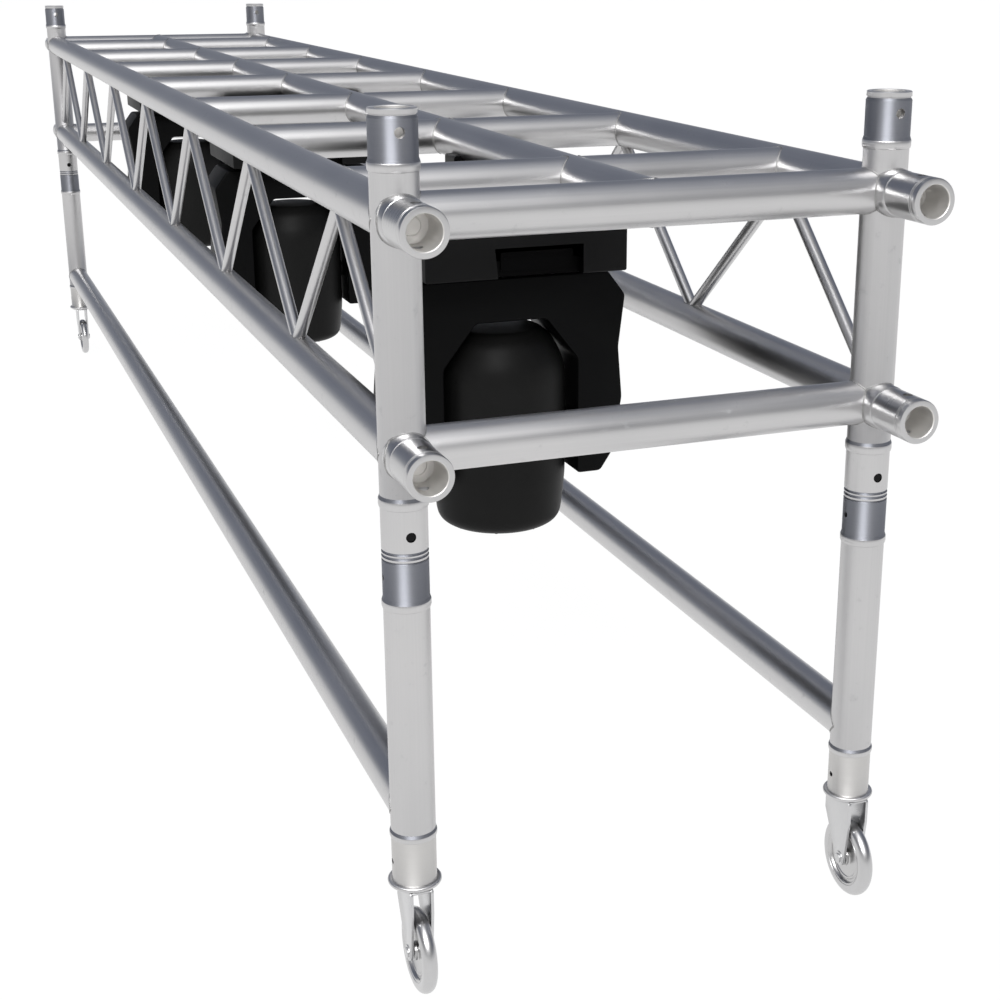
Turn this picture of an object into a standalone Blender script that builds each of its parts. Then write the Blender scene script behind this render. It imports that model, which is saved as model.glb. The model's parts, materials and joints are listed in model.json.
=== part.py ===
"""Pre-rigged lighting truss section on dolly legs, with three moving-head lights hung inside it.

Metres, +Z up. X runs across the truss and Y along it. The origin is on the floor, under the middle.
"""

import math

import bmesh
import bpy
from mathutils import Matrix, Vector

for old in list(bpy.data.objects):
    bpy.data.objects.remove(old, do_unlink=True)

# Truss tubes
PANEL = 0.488  # rung to rung
END_PANEL = 0.223  # post axis to the first rung
RUNG_COUNT = 7
WIDTH = 0.558  # left chord axis to right chord axis
DEPTH = 0.240  # bottom chord axis to top chord axis
TUBE_RADIUS = 0.025  # chords, posts, end tubes, legs and rails
RUNG_STEP = 0.001  # how much smaller a rung's radius is than a chord's
BRACE_RADIUS = 0.008
BRACE_BURY = 0.007  # how far inside the chord's skin two braces meet

# Coupling receivers on the posts' ends and on the truss's ends
BORE_RADIUS = 0.018
BORE_DEPTH = 0.046
RECEIVER_REACH = 0.100  # post axis to the receiver's face
PIN_RADIUS = 0.0055
PIN_SETBACK = 0.026  # receiver's rim to the axis of its pin hole
STUB_PIN_SETBACK = 0.0227  # top stub's rim to the axis of its pin hole
FOOT_PIN_RISE = 0.029  # socket's rim to the axis of the foot pin hole
COLLAR_RADIUS = 0.0275
COLLAR_CHAMFER = 0.0035  # height of the slope on top of each collar
COLLAR_TAPER = 0.0025  # height of the slope under it
TOP_COLLAR_HEIGHT = 0.0125
TOP_STUB_HEIGHT = 0.0485
POST_HEAD = 0.046  # top chord axis to the top collar
POST_FOOT = 0.045  # bottom chord axis to the foot collar
FOOT_COLLAR_HEIGHT = 0.013
FOOT_SOCKET_HEIGHT = 0.057

# Dolly legs, from the casters up
LIP_RADIUS = 0.0303  # rolled lip at the foot of the sleeve
LIP_HEIGHT = 0.006
SLEEVE_HEIGHT = 0.054
RING_RADIUS = 0.0265
RING_HEIGHT = 0.015
SHANK_HEIGHT = 0.256
LEG_COLLAR_HEIGHT = 0.012
LEG_STUB_HEIGHT = 0.043
SPIGOT_LENGTH = 0.044
RAIL_RISE = 0.019  # sleeve ring's top to the rail's axis

# Casters
WHEEL_RADIUS = 0.050
WHEEL_WIDTH = 0.017
WHEEL_ROUND = 0.005
AXLE_RADIUS = 0.005
AXLE_HEAD = 0.003  # how far the axle stands out of the fork
FORK_RISE = 0.0835  # axle to the top of the fork
FORK_PLATE = 0.0035
FORK_DEPTH = 0.055
FORK_SHOULDER = 0.030  # top of the fork to where its arms begin to taper
FORK_EYE = 0.010  # radius of the fork's end round the axle
FORK_SIDE_GAP = 0.0015  # wheel to fork
TRAIL = 0.0105  # swivel axis to axle
KINGPIN_RADIUS = 0.007
KINGPIN_LENGTH = 0.030

# Moving-head lights
LIGHT_PITCH = 1.235
LIGHT_OFFSET = 0.045  # how far the row of lights is shifted towards the far end
LIGHT_COUNT = 3
BASE_WIDTH = 0.273
BASE_LENGTH = 0.250
BASE_HEIGHT = 0.116
BASE_ROUND = 0.003
RECESS_WIDTH = 0.115
RECESS_HEIGHT = 0.039
RECESS_DEPTH = 0.018
RECESS_OFFSET = 0.0175
RECESS_FLARE = 0.005  # how much wider the recess is at its top
SADDLE_DROP = 0.003  # underside of the centre chord to the top of the base
SADDLE_WIDTH = 0.064
SADDLE_LENGTH = 0.040
SADDLE_SPACING = 0.190
PAN_RADIUS = 0.030
PAN_SEAT = 0.012  # how far the pan boss reaches into the base
PAN_SPACE = 0.011  # base to yoke
YOKE_DEPTH = 0.120
YOKE_ROUND = 0.003
YOKE_TOP_HALF = 0.137
SHOULDER_DROP = 0.034  # yoke's top to its widest point
WAIST = 0.009  # how far the arms draw in above the tilt axis
YOKE_CROWN = 0.059  # yoke's top to the underside of its arch
ARCH_RISE = 0.156  # tilt axis to the underside of the arch
ARCH_HALF = 0.049
WAIST_RISE = 0.7  # height of the waist, as a share of the arch's rise
ARCH_SPRING = 0.63  # height where the arch starts to close, as a share of its rise
ARM_BEND = 0.6  # where an arm starts to draw in, as a share of its tail
ARM_WIDTH = 0.0685
ARM_TAIL = 0.064  # tilt axis to the end of an arm
HEAD_RADIUS = 0.092
HEAD_SIDE_GAP = 0.0025
HEAD_RISE = 0.139  # tilt axis to the flat top of the head
HEAD_DROP = 0.135  # tilt axis to the lens rim
RIM_SHARE = 0.78  # radius of the lens rim, as a share of the head's
CHAMFER_SHARE = 0.93  # the same where the head's lower edge is drawn in
CHAMFER_DROP = 0.9  # height of that place, as a share of the drop
BARREL_RISE = 0.55  # height of the barrel's straight wall, as a share of the rise
DOME_SHARE = 0.9  # radius of the dome's shoulder
DOME_RISE = 0.77  # and its height
CAP_SHARE = 0.62  # radius of the flat top
LENS_RADIUS = 0.066
LENS_SETBACK = 0.005
TRUNNION_RADIUS = 0.015
TRUNNION_REACH = 0.018

# Fits and roundness
GAP = 0.0003  # between pieces that touch, weld or run on each other
TUBE_SIDES = 16
BRACE_SIDES = 8
PIN_SIDES = 8
WHEEL_SIDES = 18
HEAD_SIDES = 18

# Heights worked out from the floor up. A wheel stands on one of its flats.
AXLE_Z = WHEEL_RADIUS * math.cos(math.pi / WHEEL_SIDES)
LIP_Z = AXLE_Z + FORK_RISE + GAP
SLEEVE_Z = LIP_Z + LIP_HEIGHT
RING_Z = SLEEVE_Z + SLEEVE_HEIGHT
SHANK_Z = RING_Z + RING_HEIGHT
RAIL_Z = SHANK_Z + RAIL_RISE
LEG_COLLAR_Z = SHANK_Z + SHANK_HEIGHT
LEG_STUB_Z = LEG_COLLAR_Z + LEG_COLLAR_HEIGHT
SHOULDER_Z = LEG_STUB_Z + LEG_STUB_HEIGHT
SOCKET_Z = SHOULDER_Z + GAP
FOOT_COLLAR_Z = SOCKET_Z + FOOT_SOCKET_HEIGHT
FOOT_Z = FOOT_COLLAR_Z + FOOT_COLLAR_HEIGHT
BOTTOM_Z = FOOT_Z + POST_FOOT
TOP_Z = BOTTOM_Z + DEPTH
TOP_COLLAR_Z = TOP_Z + POST_HEAD
STUB_Z = TOP_COLLAR_Z + TOP_COLLAR_HEIGHT
RIM_Z = STUB_Z + TOP_STUB_HEIGHT

# Places along and across the truss
LENGTH = 2 * END_PANEL + PANEL * (RUNG_COUNT - 1)  # post axis to post axis
RUNG_RADIUS = TUBE_RADIUS - RUNG_STEP
BRACE_INSET = TUBE_RADIUS - BRACE_BURY  # where two braces meet, measured from the chord's axis
RUNG_Y = [END_PANEL - LENGTH / 2 + PANEL * k for k in range(RUNG_COUNT)]
SIDES = {"left": -WIDTH / 2, "right": WIDTH / 2}
ENDS = {"near": -LENGTH / 2, "far": LENGTH / 2}
OUTWARD = {"near": -1, "far": 1}
LIGHTS = ["near", "middle", "far"][:LIGHT_COUNT]

# Heights of a light's parts, from the chord that carries it down
BASE_TOP_Z = TOP_Z - TUBE_RADIUS - SADDLE_DROP
BASE_Z = BASE_TOP_Z - BASE_HEIGHT
YOKE_TOP_Z = BASE_Z - PAN_SPACE
TILT_Z = YOKE_TOP_Z - YOKE_CROWN - ARCH_RISE
ARM_INNER = HEAD_RADIUS + HEAD_SIDE_GAP

TURN = {
    "+X": Matrix.Rotation(math.pi / 2, 4, "Y"),
    "+Y": Matrix.Rotation(-math.pi / 2, 4, "X"),
    "-Y": Matrix.Rotation(math.pi / 2, 4, "X"),
    "+Z": Matrix.Identity(4),
}


def material(name, colour, roughness, metallic):
    """A Principled material with the piece's plain colour."""
    made = bpy.data.materials.new(name)
    made.use_nodes = True
    shader = made.node_tree.nodes["Principled BSDF"]
    shader.inputs["Base Color"].default_value = (*colour, 1.0)
    shader.inputs["Roughness"].default_value = roughness
    shader.inputs["Metallic"].default_value = metallic
    return made


ALUMINIUM = material("satin aluminium", (0.62, 0.62, 0.63), 0.34, 1.0)
MACHINED = material("machined aluminium", (0.72, 0.72, 0.73), 0.18, 1.0)
BLACK = material("satin black housing", (0.012, 0.012, 0.013), 0.45, 0.0)
ZINC = material("zinc-plated steel", (0.50, 0.51, 0.53), 0.30, 1.0)
WHEEL = material("grey wheel", (0.33, 0.34, 0.35), 0.50, 0.0)


def place(name, form, at=(0, 0, 0), along="+Z", look=None):
    """Make a named object of a bmesh, its own Z turned along an axis. With no look it is a helper."""
    mesh = bpy.data.meshes.new(name)
    bmesh.ops.recalc_face_normals(form, faces=form.faces)
    form.to_mesh(mesh)
    form.free()
    mesh.shade_smooth()
    mesh.set_sharp_from_angle(angle=math.radians(35))
    made = bpy.data.objects.new(name, mesh)
    made.matrix_world = Matrix.Translation(at) @ TURN[along]
    bpy.context.scene.collection.objects.link(made)
    if look:
        mesh.materials.append(look)
    else:
        made.hide_render = True
        made.display_type = "WIRE"
    return made


def turned(profile, sides=TUBE_SIDES, phase=0.0):
    """Spin a profile of (radius, height) points round Z."""
    form = bmesh.new()
    points = [form.verts.new((radius, 0, height)) for radius, height in profile]
    edges = [form.edges.new(pair) for pair in zip(points, points[1:])]
    bmesh.ops.rotate(form, verts=points, matrix=Matrix.Rotation(phase, 3, "Z"))
    bmesh.ops.spin(
        form,
        geom=points + edges,
        axis=(0, 0, 1),
        cent=(0, 0, 0),
        angle=2 * math.pi,
        steps=sides,
    )
    bmesh.ops.remove_doubles(form, verts=form.verts, dist=0.00001)
    return form


def rod(radius, low, high, sides=TUBE_SIDES):
    """A round bar along Z."""
    return turned([(0, low), (radius, low), (radius, high), (0, high)], sides)


def prism(outline, depth):
    """Extrude an outline of (x, z) points along Y, half of the depth to each side."""
    form = bmesh.new()
    face = form.faces.new([form.verts.new((x, -depth / 2, z)) for x, z in outline])
    grown = bmesh.ops.extrude_face_region(form, geom=[face])["geom"]
    moved = [part for part in grown if isinstance(part, bmesh.types.BMVert)]
    bmesh.ops.translate(form, verts=moved, vec=(0, depth, 0))
    return form


def bent_rod(route, radius, sides):
    """Extrude a ring along straight runs, mitred where one run meets the next."""
    form = bmesh.new()
    runs = [(b - a).normalized() for a, b in zip(route, route[1:])]
    turn = runs[0].to_track_quat("Z", "X").to_matrix().to_4x4()
    ring = bmesh.ops.create_circle(
        form, cap_ends=True, radius=radius, segments=sides, matrix=Matrix.Translation(route[0]) @ turn
    )["verts"]
    cap = ring[0].link_faces[0]
    for k, run in enumerate(runs):
        after = runs[min(k + 1, len(runs) - 1)]
        mitre = (run + after).normalized()
        grown = bmesh.ops.extrude_face_region(form, geom=[cap])["geom"]
        bmesh.ops.delete(form, geom=[cap] if k else [], context="FACES_ONLY")
        cap = next(part for part in grown if isinstance(part, bmesh.types.BMFace))
        for corner in cap.verts:
            corner.co += run * ((route[k + 1] - corner.co).dot(mitre) / run.dot(mitre))
    return form


def shape(made, operation, *tools):
    """Cut, join or intersect an object with helpers, by Boolean modifiers."""
    for tool in tools:
        step = made.modifiers.new(tool.name, "BOOLEAN")
        step.operation = operation
        step.object = tool


def rounded(made, width, segments=1):
    """Break the sharp edges of a housing."""
    step = made.modifiers.new("rounded edges", "BEVEL")
    step.width = width
    step.segments = segments
    step.limit_method = "ANGLE"
    step.angle_limit = math.radians(40)


# Helpers that cope one tube's end to the tube that it is welded to
COPE = TUBE_RADIUS + GAP
cope = {}
for side, x in SIDES.items():
    for end, y in ENDS.items():
        cope["post", side, end] = place(f"cope post {side} {end}", rod(COPE, 0, RIM_Z), (x, y, 0))
    for level, z in (("top", TOP_Z), ("bottom", BOTTOM_Z)):
        run = rod(COPE, -LENGTH / 2, LENGTH / 2)
        cope["chord", side, level] = place(f"cope chord {side} {level}", run, (x, 0, z), "+Y")
for end, y in ENDS.items():
    for level, z in (("top", TOP_Z), ("bottom", BOTTOM_Z)):
        run = rod(COPE, -WIDTH / 2, WIDTH / 2)
        cope["end", level, end] = place(f"cope end {level} {end}", run, (0, y, z), "+X")
spine = rod(COPE, -LENGTH / 2, LENGTH / 2)
cope["spine"] = place("cope centre chord", spine, (0, 0, TOP_Z), "+Y")

# Four chords between the corner posts, and the centre chord between the end tubes
for side, x in SIDES.items():
    for level, z in (("top", TOP_Z), ("bottom", BOTTOM_Z)):
        run = rod(TUBE_RADIUS, -LENGTH / 2, LENGTH / 2)
        chord = place(f"{level}_chord_{side}", run, (x, 0, z), "+Y", ALUMINIUM)
        shape(chord, "DIFFERENCE", cope["post", side, "near"], cope["post", side, "far"])
run = rod(TUBE_RADIUS, -LENGTH / 2, LENGTH / 2)
chord = place("top_chord_centre", run, (0, 0, TOP_Z), "+Y", ALUMINIUM)
shape(chord, "DIFFERENCE", cope["end", "top", "near"], cope["end", "top", "far"])

# End tubes across the truss, coped to the posts and round the chords beside them
for end, y in ENDS.items():
    for level, z in (("top", TOP_Z), ("bottom", BOTTOM_Z)):
        run = rod(TUBE_RADIUS, -WIDTH / 2, WIDTH / 2)
        tube = place(f"end_tube_{level}_{end}", run, (0, y, z), "+X", ALUMINIUM)
        for side in SIDES:
            shape(tube, "DIFFERENCE", cope["post", side, end], cope["chord", side, level])

# Rungs of the ladder top, each in two halves that meet the centre chord
for side, x in SIDES.items():
    for number, y in enumerate(RUNG_Y, start=1):
        run = rod(RUNG_RADIUS, min(x, 0), max(x, 0))
        rung = place(f"rung_{side}_{number}", run, (0, y, TOP_Z), "+X", ALUMINIUM)
        shape(rung, "DIFFERENCE", cope["spine"], cope["chord", side, "top"])
for y in RUNG_Y:
    run = rod(RUNG_RADIUS + GAP, -WIDTH / 2, WIDTH / 2)
    cope["rung", y] = place("cope rung", run, (0, y, TOP_Z), "+X")

# Zigzag lacing of each long side. Its upper bends lie under the rungs.
for side, x in SIDES.items():
    route = [Vector((x, ENDS["near"], BOTTOM_Z + BRACE_INSET))]
    for y in RUNG_Y:
        route.append(Vector((x, y, TOP_Z - BRACE_INSET)))
        foot = y + PANEL / 2 if y != RUNG_Y[-1] else ENDS["far"]
        route.append(Vector((x, foot, BOTTOM_Z + BRACE_INSET)))
    lacing = place(f"lacing_{side}", bent_rod(route, BRACE_RADIUS, BRACE_SIDES), look=ALUMINIUM)
    shape(lacing, "DIFFERENCE", cope["chord", side, "top"], cope["chord", side, "bottom"])
    shape(lacing, "DIFFERENCE", cope["post", side, "near"], cope["post", side, "far"])

# Corner posts: a socket at the foot, an open receiver at the top, and a pin hole through each
for side, x in SIDES.items():
    for end, y in ENDS.items():
        profile = [
            (0, SOCKET_Z + BORE_DEPTH),
            (BORE_RADIUS, SOCKET_Z + BORE_DEPTH),
            (BORE_RADIUS, SOCKET_Z),
            (TUBE_RADIUS, SOCKET_Z),
            (TUBE_RADIUS, FOOT_COLLAR_Z),
            (COLLAR_RADIUS, FOOT_COLLAR_Z + COLLAR_TAPER),
            (COLLAR_RADIUS, FOOT_Z - COLLAR_CHAMFER),
            (TUBE_RADIUS, FOOT_Z),
            (TUBE_RADIUS, TOP_COLLAR_Z),
            (COLLAR_RADIUS, TOP_COLLAR_Z + COLLAR_TAPER),
            (COLLAR_RADIUS, STUB_Z - COLLAR_CHAMFER),
            (TUBE_RADIUS, STUB_Z),
            (TUBE_RADIUS, RIM_Z),
            (BORE_RADIUS, RIM_Z),
            (BORE_RADIUS, RIM_Z - BORE_DEPTH),
            (0, RIM_Z - BORE_DEPTH),
        ]
        post = place(f"corner_post_{side}_{end}", turned(profile), (x, y, 0), look=ALUMINIUM)
        for level, z in (("foot", SOCKET_Z + FOOT_PIN_RISE), ("top", RIM_Z - STUB_PIN_SETBACK)):
            run = rod(PIN_RADIUS, -2 * COLLAR_RADIUS, 2 * COLLAR_RADIUS, PIN_SIDES)
            cope["pin", level, side, end] = place(f"pin hole {level} {side} {end}", run, (x, y, z), "+Y")
            shape(post, "DIFFERENCE", cope["pin", level, side, end])

# End receivers: open sockets with an upright pin hole
for side, x in SIDES.items():
    for end, y in ENDS.items():
        for level, z in (("top", TOP_Z), ("bottom", BOTTOM_Z)):
            profile = [
                (0, 0),
                (TUBE_RADIUS, 0),
                (TUBE_RADIUS, RECEIVER_REACH),
                (BORE_RADIUS, RECEIVER_REACH),
                (BORE_RADIUS, RECEIVER_REACH - BORE_DEPTH),
                (0, RECEIVER_REACH - BORE_DEPTH),
            ]
            out = "-Y" if end == "near" else "+Y"
            receiver = place(f"receiver_{side}_{end}_{level}", turned(profile), (x, y, z), out, MACHINED)
            pin_y = y + OUTWARD[end] * (RECEIVER_REACH - PIN_SETBACK)
            run = rod(PIN_RADIUS, -2 * TUBE_RADIUS, 2 * TUBE_RADIUS, PIN_SIDES)
            pin = place(f"pin hole {side} {end} {level}", run, (x, pin_y, z))
            shape(receiver, "DIFFERENCE", cope["post", side, end], cope["end", level, end], pin)

# Dolly legs: a spigot pinned in the post's socket, a shank, and a sleeve over the caster
for side, x in SIDES.items():
    for end, y in ENDS.items():
        profile = [
            (0, LIP_Z + KINGPIN_LENGTH + GAP),
            (KINGPIN_RADIUS + GAP, LIP_Z + KINGPIN_LENGTH + GAP),
            (KINGPIN_RADIUS + GAP, LIP_Z),
            (LIP_RADIUS - LIP_HEIGHT / 2, LIP_Z),
            (LIP_RADIUS, LIP_Z + LIP_HEIGHT / 2),
            (LIP_RADIUS - LIP_HEIGHT / 2, SLEEVE_Z),
            (TUBE_RADIUS, SLEEVE_Z),
            (TUBE_RADIUS, RING_Z),
            (RING_RADIUS, RING_Z + COLLAR_TAPER),
            (RING_RADIUS, SHANK_Z - COLLAR_CHAMFER),
            (TUBE_RADIUS, SHANK_Z),
            (TUBE_RADIUS, LEG_COLLAR_Z),
            (RING_RADIUS, LEG_COLLAR_Z + COLLAR_TAPER),
            (RING_RADIUS, LEG_STUB_Z - COLLAR_CHAMFER),
            (TUBE_RADIUS, LEG_STUB_Z),
            (TUBE_RADIUS, SHOULDER_Z),
            (BORE_RADIUS - GAP, SHOULDER_Z),
            (BORE_RADIUS - GAP, SHOULDER_Z + SPIGOT_LENGTH),
            (0, SHOULDER_Z + SPIGOT_LENGTH),
        ]
        leg = place(f"leg_{side}_{end}", turned(profile), (x, y, 0), look=ALUMINIUM)
        shape(leg, "DIFFERENCE", cope["pin", "foot", side, end])
        ring = rod(RING_RADIUS + GAP, RING_Z, SHANK_Z + GAP)
        cope["ring", side, end] = place(f"cope ring {side} {end}", ring, (x, y, 0))

# Low rails that tie each side's two legs together
for side, x in SIDES.items():
    run = rod(TUBE_RADIUS, -LENGTH / 2, LENGTH / 2)
    rail = place(f"dolly_rail_{side}", run, (x, 0, RAIL_Z), "+Y", ALUMINIUM)
    for end in ENDS:
        shape(rail, "DIFFERENCE", cope["post", side, end], cope["ring", side, end])

# Swivel casters: a fork folded to a U and cut to its side outline, and the wheel on its axle
FORK_INNER = WHEEL_WIDTH / 2 + FORK_SIDE_GAP
FORK_OUTER = FORK_INNER + FORK_PLATE
for side, x in SIDES.items():
    for end, y in ENDS.items():
        channel = [
            (-FORK_OUTER, -FORK_RISE - FORK_EYE),
            (-FORK_INNER, -FORK_RISE - FORK_EYE),
            (-FORK_INNER, -FORK_PLATE),
            (FORK_INNER, -FORK_PLATE),
            (FORK_INNER, -FORK_RISE - FORK_EYE),
            (FORK_OUTER, -FORK_RISE - FORK_EYE),
            (FORK_OUTER, 0),
            (-FORK_OUTER, 0),
        ]
        at = (x, y, LIP_Z - GAP)
        form = prism(channel, 2 * (TRAIL + FORK_DEPTH))
        fork = place(f"caster_fork_{side}_{end}", form, at, look=ZINC)
        lean = math.atan2(TRAIL, FORK_RISE)
        eye = [
            (-TRAIL + FORK_EYE * math.cos(angle), -FORK_RISE + FORK_EYE * math.sin(angle))
            for angle in [math.pi - lean + math.pi * step / 4 for step in range(5)]
        ]
        front, back = -FORK_DEPTH / 2, FORK_DEPTH / 2
        outline = [(back, FORK_PLATE), (front, FORK_PLATE), (front, -FORK_SHOULDER)]
        outline += eye + [(back, -FORK_SHOULDER)]
        form = prism(outline, 4 * FORK_OUTER)
        bmesh.ops.rotate(form, verts=form.verts, matrix=Matrix.Rotation(math.pi / 2, 3, "Z"))
        side_cut = place(f"fork outline {side} {end}", form, at)
        shape(fork, "INTERSECT", side_cut)
        axle_at = (x, y - TRAIL, AXLE_Z)
        reach = FORK_OUTER + AXLE_HEAD
        axle = place(f"axle {side} {end}", rod(AXLE_RADIUS, -reach, reach, PIN_SIDES), axle_at, "+X")
        kingpin = rod(KINGPIN_RADIUS, -FORK_PLATE / 2, KINGPIN_LENGTH, PIN_SIDES)
        kingpin = place(f"kingpin {side} {end}", kingpin, at)
        shape(fork, "UNION", axle, kingpin)
        half = WHEEL_WIDTH / 2
        profile = [
            (AXLE_RADIUS + GAP, -half),
            (WHEEL_RADIUS - WHEEL_ROUND, -half),
            (WHEEL_RADIUS, -half + WHEEL_ROUND),
            (WHEEL_RADIUS, half - WHEEL_ROUND),
            (WHEEL_RADIUS - WHEEL_ROUND, half),
            (AXLE_RADIUS + GAP, half),
            (AXLE_RADIUS + GAP, -half),
        ]
        form = turned(profile, WHEEL_SIDES, math.pi / WHEEL_SIDES)
        place(f"caster_wheel_{side}_{end}", form, axle_at, "+X", WHEEL)

# Moving-head lights: a base saddled under the centre chord, a yoke that pans and a head that tilts
for number, light in enumerate(LIGHTS):
    y = LIGHT_OFFSET + LIGHT_PITCH * (number - (len(LIGHTS) - 1) / 2)
    half = BASE_WIDTH / 2
    box = [(-half, BASE_Z), (half, BASE_Z), (half, BASE_TOP_Z), (-half, BASE_TOP_Z)]
    base = place(f"light_base_{light}", prism(box, BASE_LENGTH), (0, y, 0), look=BLACK)
    rounded(base, BASE_ROUND)
    half = SADDLE_WIDTH / 2
    foot = BASE_TOP_Z - BASE_ROUND
    lip = TOP_Z - TUBE_RADIUS / 2
    block = [(-half, foot), (half, foot), (half, lip), (-half, lip)]
    for step in (-SADDLE_SPACING / 2, SADDLE_SPACING / 2):
        saddle = place(f"saddle {light}", prism(block, SADDLE_LENGTH), (0, y + step, 0))
        shape(base, "UNION", saddle)
    left = RECESS_OFFSET - RECESS_WIDTH / 2
    right = RECESS_OFFSET + RECESS_WIDTH / 2
    hollow = [
        (left, BASE_Z - BASE_ROUND),
        (right, BASE_Z - BASE_ROUND),
        (right, BASE_Z + RECESS_HEIGHT),
        (left - RECESS_FLARE, BASE_Z + RECESS_HEIGHT),
    ]
    recess = place(f"recess {light}", prism(hollow, 2 * RECESS_DEPTH), (0, y - BASE_LENGTH / 2, 0))
    seat = rod(PAN_RADIUS + GAP, -BASE_ROUND, PAN_SEAT + GAP)
    seat = place(f"pan seat {light}", seat, (0, y, BASE_Z))
    shape(base, "DIFFERENCE", cope["spine"], recess, seat)
    shape(base, "DIFFERENCE", *[cope["rung", rung_y] for rung_y in RUNG_Y])

    crown = TILT_Z + ARCH_RISE
    outer = ARM_INNER + ARM_WIDTH
    half_outline = [
        (YOKE_TOP_HALF, YOKE_TOP_Z),
        (outer, YOKE_TOP_Z - SHOULDER_DROP),
        (outer - WAIST, TILT_Z + ARCH_RISE * WAIST_RISE),
        (outer - WAIST / 3, TILT_Z + ARM_TAIL * ARM_BEND),
        (outer - ARM_WIDTH / 4, TILT_Z - ARM_TAIL * ARM_BEND),
        (outer - ARM_WIDTH / 2, TILT_Z - ARM_TAIL),
        (ARM_INNER, TILT_Z - ARM_TAIL),
        (ARM_INNER, TILT_Z + ARCH_RISE * ARCH_SPRING),
        (ARCH_HALF, crown),
    ]
    outline = half_outline + [(-x, z) for x, z in reversed(half_outline)]
    outline = [(x, z - TILT_Z) for x, z in outline]
    yoke = place(f"light_yoke_{light}", prism(outline, YOKE_DEPTH), (0, y, TILT_Z), look=BLACK)
    rounded(yoke, YOKE_ROUND)
    boss = rod(PAN_RADIUS, YOKE_TOP_Z - YOKE_CROWN / 2, BASE_Z + PAN_SEAT)
    shape(yoke, "UNION", place(f"pan boss {light}", boss, (0, y, 0)))
    reach = ARM_INNER + TRUNNION_REACH
    pivot = rod(TRUNNION_RADIUS + GAP, -reach - GAP, reach + GAP)
    shape(yoke, "DIFFERENCE", place(f"tilt bore {light}", pivot, (0, y, TILT_Z), "+X"))

    barrel = HEAD_RADIUS
    profile = [
        (0, LENS_SETBACK - HEAD_DROP),
        (LENS_RADIUS, LENS_SETBACK - HEAD_DROP),
        (LENS_RADIUS, -HEAD_DROP),
        (barrel * RIM_SHARE, -HEAD_DROP),
        (barrel * CHAMFER_SHARE, -HEAD_DROP * CHAMFER_DROP),
        (barrel, -ARM_TAIL),
        (barrel, HEAD_RISE * BARREL_RISE),
        (barrel * DOME_SHARE, HEAD_RISE * DOME_RISE),
        (barrel * CAP_SHARE, HEAD_RISE),
        (0, HEAD_RISE),
    ]
    head = place(f"light_head_{light}", turned(profile, HEAD_SIDES), (0, y, TILT_Z), look=BLACK)
    pivot = rod(TRUNNION_RADIUS, -reach, reach)
    shape(head, "UNION", place(f"trunnion {light}", pivot, (0, y, TILT_Z), "+X"))
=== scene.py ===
# %% [markdown]
# A touring truss section stands on four caster legs, with three moving-head lights hung inside it.
# The packed solids are the frame: they give every place and every joint. This lesson dresses them
# with round tubes, welds, machined sockets and moulded housings, one step at a time.

# %% Load the packed model
import json
import math

import bmesh
import bpy
from mathutils import Matrix, Vector


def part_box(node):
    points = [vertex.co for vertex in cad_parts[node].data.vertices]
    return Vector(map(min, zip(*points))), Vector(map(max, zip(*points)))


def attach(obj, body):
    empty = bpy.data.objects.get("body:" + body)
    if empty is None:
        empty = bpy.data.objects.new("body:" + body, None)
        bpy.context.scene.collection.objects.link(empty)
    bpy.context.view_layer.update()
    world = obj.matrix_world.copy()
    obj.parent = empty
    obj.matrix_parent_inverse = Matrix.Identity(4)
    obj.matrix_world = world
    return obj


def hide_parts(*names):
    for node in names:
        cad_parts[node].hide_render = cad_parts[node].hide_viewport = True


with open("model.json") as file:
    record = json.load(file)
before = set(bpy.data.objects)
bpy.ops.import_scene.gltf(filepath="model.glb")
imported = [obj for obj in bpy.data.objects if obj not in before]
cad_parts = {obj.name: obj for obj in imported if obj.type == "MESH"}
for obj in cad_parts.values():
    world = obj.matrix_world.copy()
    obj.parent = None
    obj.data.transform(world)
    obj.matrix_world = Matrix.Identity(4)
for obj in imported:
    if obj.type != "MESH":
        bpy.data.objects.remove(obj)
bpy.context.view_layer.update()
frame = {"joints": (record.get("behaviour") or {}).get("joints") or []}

# %% [markdown]
# Every place is read from the frame, so nothing has to be fitted by eye. The middle of a tube's box
# is its axis, and the joints give the swivels, axles and pivots.

# %% Places of the tubes and the joints
def middle(node):
    low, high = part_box(node)
    return (low + high) / 2


SIDES = {side: middle(f"top_chord_{side}").x for side in ("left", "right")}
ENDS = {end: middle(f"corner_post_left_{end}").y for end in ("near", "far")}
OUTWARD = {"near": -1, "far": 1}
TOP = middle("top_chord_left").z
BOTTOM = middle("bottom_chord_left").z
LEVELS = {"top": TOP, "bottom": BOTTOM}
RUNGS = 7
RUNG_Y = [middle(f"rung_left_{number}").y for number in range(1, RUNGS + 1)]
PANEL = RUNG_Y[1] - RUNG_Y[0]
LIGHTS = ("near", "middle", "far")
joint_at = {joint["name"]: Vector(joint["pos_m"]) for joint in frame["joints"]}
X, Y, Z = Vector((1, 0, 0)), Vector((0, 1, 0)), Vector((0, 0, 1))
CORNERS = [(side, end, x, y) for side, x in SIDES.items() for end, y in ENDS.items()]
SPOTS = [f"{side}_{end}" for side, end, _, _ in CORNERS]
TUBE = 0.025
RUNG = 0.024
BRACE = 0.008
CLEARANCE = 0.0003
print("truss", round(ENDS["far"] - ENDS["near"], 3), "m between posts, rungs every", round(PANEL, 3), "m")

# %% [markdown]
# A material is easier to read as a sum than as a web of boxes. One small class wraps a socket of the
# node tree, so that adding or multiplying two of them adds the Math node, and any other node comes
# from one method that takes its type, its settings and its sockets.

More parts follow.
